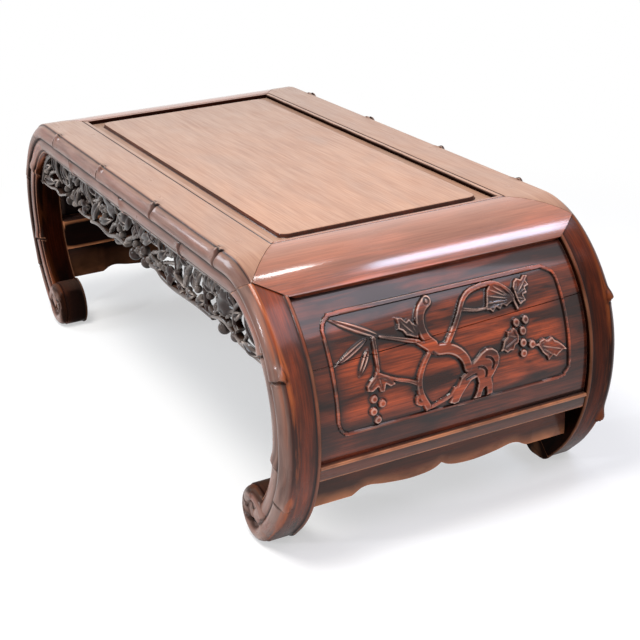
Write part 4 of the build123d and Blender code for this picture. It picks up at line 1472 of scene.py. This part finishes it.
# ---- Rosewood ----
def rosewood_group():
    """Colour, roughness and bump height of polished rosewood, shared by every finish."""
    group = bpy.data.node_groups.get("rosewood")
    if group:
        return group
    group, given, outside = new_group(
        "rosewood", "ShaderNodeTree",
        [
            ("Place", "Vector"), ("Heart", "Color"), ("Streaks", "Color"), ("Faded", "Color"),
            ("Patina", "Color"), ("Worn", "Color"),
            ("Dust", "Color", (0.090, 0.064, 0.053, 1)),
            ("Rubbed", "Color", (0.28, 0.165, 0.130, 1)),
            ("Glow", "Color", (0.36, 0.085, 0.022, 1)),
            ("Greyed", "Color", (0.395, 0.275, 0.208, 1)),
            *((name, "Float") for name in FINISH_INPUTS),
        ],
        [("Colour", "Color"), ("Roughness", "Float"), ("Height", "Float"), ("Polish", "Float")],
    )

    def math(operation, first, second):
        node = add_node(group, "ShaderNodeMath", {0: first, 1: second}, operation=operation)
        return node.outputs["Value"]

    def times(first, *others):
        for other in others:
            first = math("MULTIPLY", first, other)
        return first

    def plus(first, *others):
        for other in others:
            first = math("ADD", first, other)
        return first

    def noise(along, across, detail, distortion=0.0):
        place = add_node(
            group, "ShaderNodeVectorMath", {0: given["Place"], 1: (along, across, across)},
            operation="MULTIPLY",
        )
        node = add_node(
            group, "ShaderNodeTexNoise",
            {
                "Vector": place.outputs["Vector"], "Scale": 1.0, "Detail": detail,
                "Distortion": distortion,
            },
        )
        return node.outputs["Fac"]

    def ramp(value, low, high, to_low=0.0, to_high=1.0):
        node = add_node(
            group, "ShaderNodeMapRange",
            {
                "Value": value, "From Min": low, "From Max": high, "To Min": to_low,
                "To Max": to_high,
            },
        )
        return node.outputs["Result"]

    def mix(factor, first, second):
        inputs = {"Factor": factor, "A": first, "B": second}
        return add_node(group, "ShaderNodeMix", inputs, data_type="RGBA").outputs["Result"]

    def scaled(colour, share):
        inputs = {0: colour, "Scale": share}
        node = add_node(group, "ShaderNodeVectorMath", inputs, operation="SCALE")
        return node.outputs["Vector"]

    def parts(vector):
        return add_node(group, "ShaderNodeSeparateXYZ", {"Vector": vector}).outputs

    def attribute(name):
        return add_node(group, "ShaderNodeAttribute", attribute_name=name).outputs["Fac"]

    # Heart wood: streaks and patches along the grain.
    broad = noise(7, 90, 3, 0.8)
    fine = noise(16, 520, 4, 0.3)
    pores = noise(90, 2600, 2)
    cloud = noise(22, 30, 3, 0.4)
    lines = ramp(plus(times(broad, 0.6), times(fine, 0.4)), 0.42, 0.66)
    patches = ramp(noise(8, 40, 4, 0.6), 0.62, 0.4)
    light = math("SUBTRACT", 1.0, times(given["Patchiness"], patches))
    light = times(light, ramp(fine, 0.35, 0.65, 1.2, 0.72))
    streaks = times(lines, given["Streak strength"])
    heart = mix(streaks, scaled(given["Heart"], light), given["Streaks"])

    # Dust low down, then wear with painted sheen and glow on the rods, which lie furthest across
    # the moulding.
    geometry = add_node(group, "ShaderNodeNewGeometry").outputs
    level = parts(geometry["Position"])
    dusty = math("MAXIMUM", ramp(level["Z"], 0.13, 0.04, 0.0, 0.4), given["Dustiness"])
    heart = mix(dusty, heart, given["Dust"])
    reach = parts(given["Place"])["Y"]
    # Rods are paler: rubbed wood, and painted sheen where they catch the light.
    rods = times(ramp(reach, 0.033, 0.037), given["Rod wear"])
    rods = times(rods, ramp(noise(14, 120, 3, 0.5), 0.35, 0.65, 0.35, 1.0))
    heart = mix(rods, heart, given["Rubbed"])
    glow = times(ramp(reach, 0.020, 0.030), ramp(reach, 0.041, 0.035))
    glow = times(glow, ramp(noise(7, 70, 4, 1.2), 0.46, 0.6), given["Glow strength"])
    heart = mix(glow, heart, given["Glow"])
    # Painted shade on hidden sides and low ledges, and each piece's given darkening, dim the heart
    # colour.
    lit = ramp(attribute("shade"), 0, 1, 1, 0)
    heart = scaled(heart, lit)

    # Wood that faces up is paler, partly faded and partly painted sheen of the light from above,
    # and more so in patches; towards the left end it is greyer, which is painted sheen.
    fading_and_sheen = times(ramp(parts(geometry["Normal"])["Z"], 0.72, 1.0), given["Fading"])
    fading_and_sheen = times(fading_and_sheen, ramp(cloud, 0.2, 0.8, 0.9, 1.0))
    figure = plus(times(ramp(fine, 0.35, 0.7), 0.2), times(lines, 0.14), times(patches, 0.07), 0.05)
    greyed_and_sheen = ramp(noise(2.4, 6, 2, 1.5), 0.46, 0.62, 0.0, 0.6)
    # Painted sheen: the pale colour turns greyer towards the left end.
    greyed_and_sheen = math("MAXIMUM", greyed_and_sheen, ramp(level["X"], 0.2, -0.4, 0.0, 0.85))
    faded = mix(figure, mix(greyed_and_sheen, given["Faded"], given["Greyed"]), given["Heart"])
    colour = mix(fading_and_sheen, heart, faded)

    # Old polish in the hollows, and pale edges: rubbed wood with painted highlight.
    hollow = times(attribute("hollow"), given["Hollow strength"], ramp(cloud, 0.2, 0.7, 0.7, 1.0))
    hollow = ramp(hollow, 0.05, 0.75)
    colour = mix(hollow, colour, given["Patina"])
    worn = ramp(times(attribute("worn"), given["Edge strength"]), 0.25, 0.9)
    colour = mix(times(worn, ramp(cloud, 0.3, 0.65, 0.25, 1.0)), colour, given["Worn"])

    rough = plus(given["Roughness"], ramp(cloud, 0.3, 0.7, -0.05, 0.08))
    rough = plus(rough, times(hollow, 0.25), times(lines, 0.06))
    height = plus(times(pores, 0.25), times(fine, 0.3), times(cloud, 0.9))
    # Coat and gloss weaken with the same darkening and painted shade, so hidden sides reflect less.
    results = {
        "Colour": colour, "Roughness": rough, "Height": height, "Polish": math("POWER", lit, 1.5),
    }
    set_inputs(group, outside, results)
    return group


# Inputs of the rosewood group that a finish sets, and the names of their settings.
FINISH_INPUTS = {
    "Patchiness": "patches",
    "Dustiness": "dust",
    "Rod wear": "rods",
    "Glow strength": "glow",
    "Fading": "fading_and_sheen",
    "Streak strength": "streaks",
    "Hollow strength": "hollow",
    "Edge strength": "worn",
    "Roughness": "rough",
}
# What a finish is unless it says otherwise: how far wood that faces up has faded and shows
# painted sheen and how pale it then is, how patchy, dusty, rubbed on the rods with painted sheen,
# glowing, streaked, dark in the hollows and pale at the edges, rubbed and with painted highlight,
# the wood is, how rough, how strong and how blurred its coat of lacquer, and by how much its heart
# colour is lightened. Edge, where given, is the colour of rubbed edges with their painted
# highlight.
PLAIN_FINISH = dict(
    fading_and_sheen=0.1, pale=1.0, patches=0.5, dust=0.0, rods=0.0, glow=0.0, streaks=0.5, hollow=0.9,
    worn=1.0, rough=0.3, coat=0.3, blur=0.1, lift=1.0,
)
FINISHES = {
    "frame": dict(fading_and_sheen=1.0, pale=1.04, patches=0.4, dust=0.1, rods=0.6, worn=0.75, lift=0.6),
    "roll": dict(
        fading_and_sheen=0.56, pale=0.96, dust=0.28, streaks=0.45, worn=0.5, rough=0.2, coat=0.9, lift=2.0,
    ),
    "panel_top": dict(
        fading_and_sheen=1.0, pale=1.2, dust=0.3, hollow=0.3, worn=0.3, rough=0.36, lift=0.6,
    ),
    "leg": dict(
        patches=0.85, dust=0.05, rods=0.75, glow=0.9, rough=0.27, blur=0.17, lift=1.15,
        edge=(0.44, 0.19, 0.10),
    ),
    "rail": dict(
        patches=0.7, dust=0.5, hollow=1.2, worn=1.5, rough=0.26, edge=(0.70, 0.27, 0.12),
    ),
    "board": dict(
        fading_and_sheen=0.0, patches=0.94, streaks=0.6, hollow=1.1, worn=1.5, rough=0.18, coat=0.55,
        lift=2.05, edge=(0.66, 0.42, 0.33),
    ),
    "carved": dict(
        patches=0.6, dust=0.02, hollow=1.4, worn=1.2, rough=0.12, coat=0.25, lift=0.08,
        edge=(0.50, 0.42, 0.37),
    ),
    "inner": dict(
        fading_and_sheen=0.0, streaks=0.4, hollow=0.0, worn=0.0, rough=0.6, coat=0.0, lift=0.4,
    ),
}


def wood(kind):
    """The rosewood finish of one kind of piece."""
    name = "rosewood_" + kind
    material = bpy.data.materials.get(name)
    if material:
        return material
    setting = {**PLAIN_FINISH, **FINISHES[kind]}
    material = bpy.data.materials.new(name)
    material.use_nodes = True
    tree = material.node_tree
    if kind == "inner":
        place = add_node(tree, "ShaderNodeTexCoord").outputs["Object"]
    else:
        place = add_node(tree, "ShaderNodeAttribute", attribute_name="grain").outputs["Vector"]
    colours = finish()
    inputs = {"Place": place}
    for socket, colour in (
        ("Heart", [min(1.0, channel * setting["lift"]) for channel in colours.heart_colour]),
        ("Streaks", colours.streak_colour),
        ("Faded", [min(1.0, channel * setting["pale"]) for channel in colours.top_faded_and_sheen_colour]),
        ("Patina", colours.patina_colour),
        ("Worn", setting.get("edge", colours.worn_and_highlight_colour)),
    ):
        inputs[socket] = (*colour, 1)
    for socket, key in FINISH_INPUTS.items():
        inputs[socket] = setting[key]
    group = add_node(tree, "ShaderNodeGroup", inputs, node_tree=rosewood_group()).outputs
    bump = add_node(
        tree, "ShaderNodeBump", {"Strength": 0.25, "Distance": 0.4 * MM, "Height": group["Height"]}
    )
    inputs = {
        "Base Color": group["Colour"], "Roughness": group["Roughness"], "IOR": 1.5,
        "Coat Roughness": setting["blur"], "Normal": bump.outputs["Normal"],
    }
    # Gloss and coat are scaled by the group's polish share, which is weaker under painted shade.
    for socket, share in (("Specular IOR Level", 0.12), ("Coat Weight", setting["coat"])):
        polish = add_node(
            tree, "ShaderNodeMath", {0: group["Polish"], 1: share}, operation="MULTIPLY"
        )
        inputs[socket] = polish.outputs["Value"]
    set_inputs(tree, tree.nodes["Principled BSDF"], inputs)
    return material


# ---- Stage ----
# Place in metres, angles in degrees (azimuth, elevation and roll) and lens of the camera.
CAMERA_PLACE = (1.6026, -0.7282, 0.8164)
CAMERA_ANGLES = (63.654, 22.510, -2.381)
CAMERA_LENS = 76.17
# Distances in metres from the table at which the floor starts to whiten and is white.
WHITENS_FROM, WHITE_FROM = 0.55, 1.2

# Place, target, size, power in watts and colour of each lamp. The panel sets the key's power.
LAMPS = {
    "key": ((0.4, -0.8, 2.3), (0, 0, 0.2), (0.9, 0.8), None, (1, 0.97, 0.93)),
    "strip": ((0.43, 0.83, 1.6), (0.4, 0, 0.3), (0.16, 0.44), 4.6, (0.66, 0.77, 1.0)),
    "corner": ((0.07, 0.42, 1.66), (0.38, -0.17, 0.3), (0.1, 0.12), 1.2, (1, 1, 1)),
    "window": ((1.12, 0.45, 1.45), (0.43, -0.1, 0.28), (0.9, 0.7), 9, (0.9, 0.84, 0.98)),
    "side": ((0.2, -2.2, 0.9), (0, 0, 0.2), (0.14, 0.24), 14, (0.88, 0.93, 1.0)),
    "spark": ((-1.25, -1.0, 1.1), (0, -0.25, 0.27), (0.5, 0.5), 8, (0.85, 0.92, 1.0)),
}


def add_camera():
    """Camera at the viewing angle of the stage."""
    azimuth, elevation, roll = (radians(angle) for angle in CAMERA_ANGLES)
    back = Vector((sin(azimuth) * cos(elevation), -cos(azimuth) * cos(elevation), sin(elevation)))
    level = (-back).cross(Vector((0, 0, 1))).normalized()
    upright = level.cross(-back)
    right = cos(roll) * level + sin(roll) * upright
    up = -sin(roll) * level + cos(roll) * upright
    lens = bpy.data.cameras.new("camera")
    lens.sensor_fit = "HORIZONTAL"
    lens.sensor_width = 36.0
    lens.lens = CAMERA_LENS
    lens.clip_end = 100
    camera = bpy.data.objects.new("camera", lens)
    turn = Matrix((right, up, back)).transposed().to_4x4()
    camera.matrix_world = Matrix.Translation(CAMERA_PLACE) @ turn
    bpy.context.scene.collection.objects.link(camera)
    bpy.context.scene.camera = camera


def add_lamp(name, place, target, size, power, colour):
    """A large soft lamp that points at a place."""
    lamp = bpy.data.lights.new(name, "AREA")
    lamp.shape = "RECTANGLE"
    lamp.size, lamp.size_y = size
    lamp.energy = power
    lamp.color = colour
    holder = bpy.data.objects.new(name, lamp)
    direction = Vector(target) - Vector(place)
    holder.rotation_euler = direction.to_track_quat("-Z", "Y").to_euler()
    holder.location = place
    bpy.context.scene.collection.objects.link(holder)


def seen_rays(tree):
    """One for rays that see the background: from the camera, a mirror or glass."""
    path = add_node(tree, "ShaderNodeLightPath").outputs
    seen = path["Is Camera Ray"]
    for kind in ("Is Glossy Ray", "Is Transmission Ray"):
        either = add_node(tree, "ShaderNodeMath", {0: seen, 1: path[kind]}, operation="MAXIMUM")
        seen = either.outputs["Value"]
    return seen


def floor_material(colour):
    """Pale floor that turns white away from the table, for rays that see the background."""
    material = bpy.data.materials.new("pale_floor")
    material.use_nodes = True
    tree = material.node_tree
    shader = tree.nodes["Principled BSDF"]
    near = {"Base Color": (*colour, 1), "Roughness": 0.9, "Specular IOR Level": 0.1}
    set_inputs(tree, shader, near)
    white = add_node(tree, "ShaderNodeEmission", {"Color": (1, 1, 1, 1), "Strength": 1.0})
    place = add_node(tree, "ShaderNodeTexCoord").outputs["Object"]
    away = add_node(tree, "ShaderNodeVectorMath", {0: place}, operation="LENGTH")
    far = add_node(
        tree, "ShaderNodeMapRange",
        {
            "Value": away.outputs["Value"], "From Min": WHITENS_FROM, "From Max": WHITE_FROM,
            "To Min": 0.5,
        },
        interpolation_type="SMOOTHSTEP",
    )
    share = add_node(
        tree, "ShaderNodeMath", {0: seen_rays(tree), 1: far.outputs["Result"]},
        operation="MULTIPLY",
    )
    blend = add_node(
        tree, "ShaderNodeMixShader",
        {"Fac": share.outputs["Value"], 1: shader.outputs["BSDF"], 2: white.outputs["Emission"]},
    )
    set_inputs(tree, tree.nodes["Material Output"], {"Surface": blend.outputs["Shader"]})
    return material


def studio_world():
    """World that is seen as white and lights the table softly."""
    world = bpy.data.worlds.new("studio")
    world.use_nodes = True
    tree = world.node_tree
    tree.nodes.clear()
    white, ambient = (
        add_node(tree, "ShaderNodeBackground", {"Color": colour, "Strength": strength})
        for colour, strength in (((1, 1, 1, 1), 1.0), ((0.93, 0.96, 1.0, 1), 0.4))
    )
    backgrounds = {1: ambient.outputs["Background"], 2: white.outputs["Background"]}
    blend = add_node(tree, "ShaderNodeMixShader", {"Fac": seen_rays(tree), **backgrounds})
    add_node(tree, "ShaderNodeOutputWorld", {"Surface": blend.outputs["Shader"]})
    return world


class KANG_OT_stage(bpy.types.Operator):
    """Pale floor, soft light and camera"""

    bl_idname = "kang.stage"
    bl_label = "Stage"

    def execute(self, context):
        stage = context.scene.kang_stage
        mesh = bpy.data.meshes.new("floor")
        work = bmesh.new()
        bmesh.ops.create_circle(work, cap_ends=True, segments=96, radius=stage.floor_radius)
        work.to_mesh(mesh)
        work.free()
        mesh.materials.append(floor_material(stage.floor_colour))
        floor = bpy.data.objects.new("floor", mesh)
        context.scene.collection.objects.link(floor)
        context.scene.world = studio_world()
        for name, (place, target, size, power, colour) in LAMPS.items():
            add_lamp(name, place, target, size, power or stage.key_strength, colour)
        context.scene.view_settings.view_transform = "Standard"
        add_camera()
        return {"FINISHED"}


PIECES = (
    KANG_OT_long_rails,
    KANG_OT_end_rails,
    KANG_OT_top_panel,
    KANG_OT_legs,
    KANG_OT_end_boards,
    KANG_OT_bottom_rails,
    KANG_OT_end_aprons,
    KANG_OT_pierced_aprons,
    KANG_OT_battens,
    KANG_OT_stage,
)


class KANG_PT_panel(bpy.types.Panel):
    """Sizes, colours and pieces of the table"""

    bl_label = "Kang table"
    bl_space_type = "VIEW_3D"
    bl_region_type = "UI"
    bl_category = "Kang table"

    def draw(self, context):
        scene = context.scene
        for group in (scene.kang_sizes, scene.kang_finish, scene.kang_stage):
            box = self.layout.box()
            for name in group.bl_rna.properties.keys():
                if name not in ("name", "rna_type"):
                    box.prop(group, name)
        for piece in PIECES:
            self.layout.operator(piece.bl_idname)


CLASSES = (KangTableSizes, KangTableFinish, KangTableStage, *PIECES, KANG_PT_panel)


def register():
    for item in CLASSES:
        bpy.utils.register_class(item)
    bpy.types.Scene.kang_sizes = bpy.props.PointerProperty(type=KangTableSizes)
    bpy.types.Scene.kang_finish = bpy.props.PointerProperty(type=KangTableFinish)
    bpy.types.Scene.kang_stage = bpy.props.PointerProperty(type=KangTableStage)


def unregister():
    del bpy.types.Scene.kang_stage
    del bpy.types.Scene.kang_finish
    del bpy.types.Scene.kang_sizes
    for item in reversed(CLASSES):
        bpy.utils.unregister_class(item)


def main():
    """Makes every piece."""
    register()
    bpy.ops.kang.stage()
    bpy.ops.kang.long_rails()
    bpy.ops.kang.end_rails()
    bpy.ops.kang.top_panel()
    bpy.ops.kang.legs()
    bpy.ops.kang.end_boards()
    bpy.ops.kang.bottom_rails()
    bpy.ops.kang.end_aprons()
    bpy.ops.kang.pierced_aprons()
    bpy.ops.kang.battens()
    bpy.context.view_layer.update()


if __name__ == "__main__":
    main()
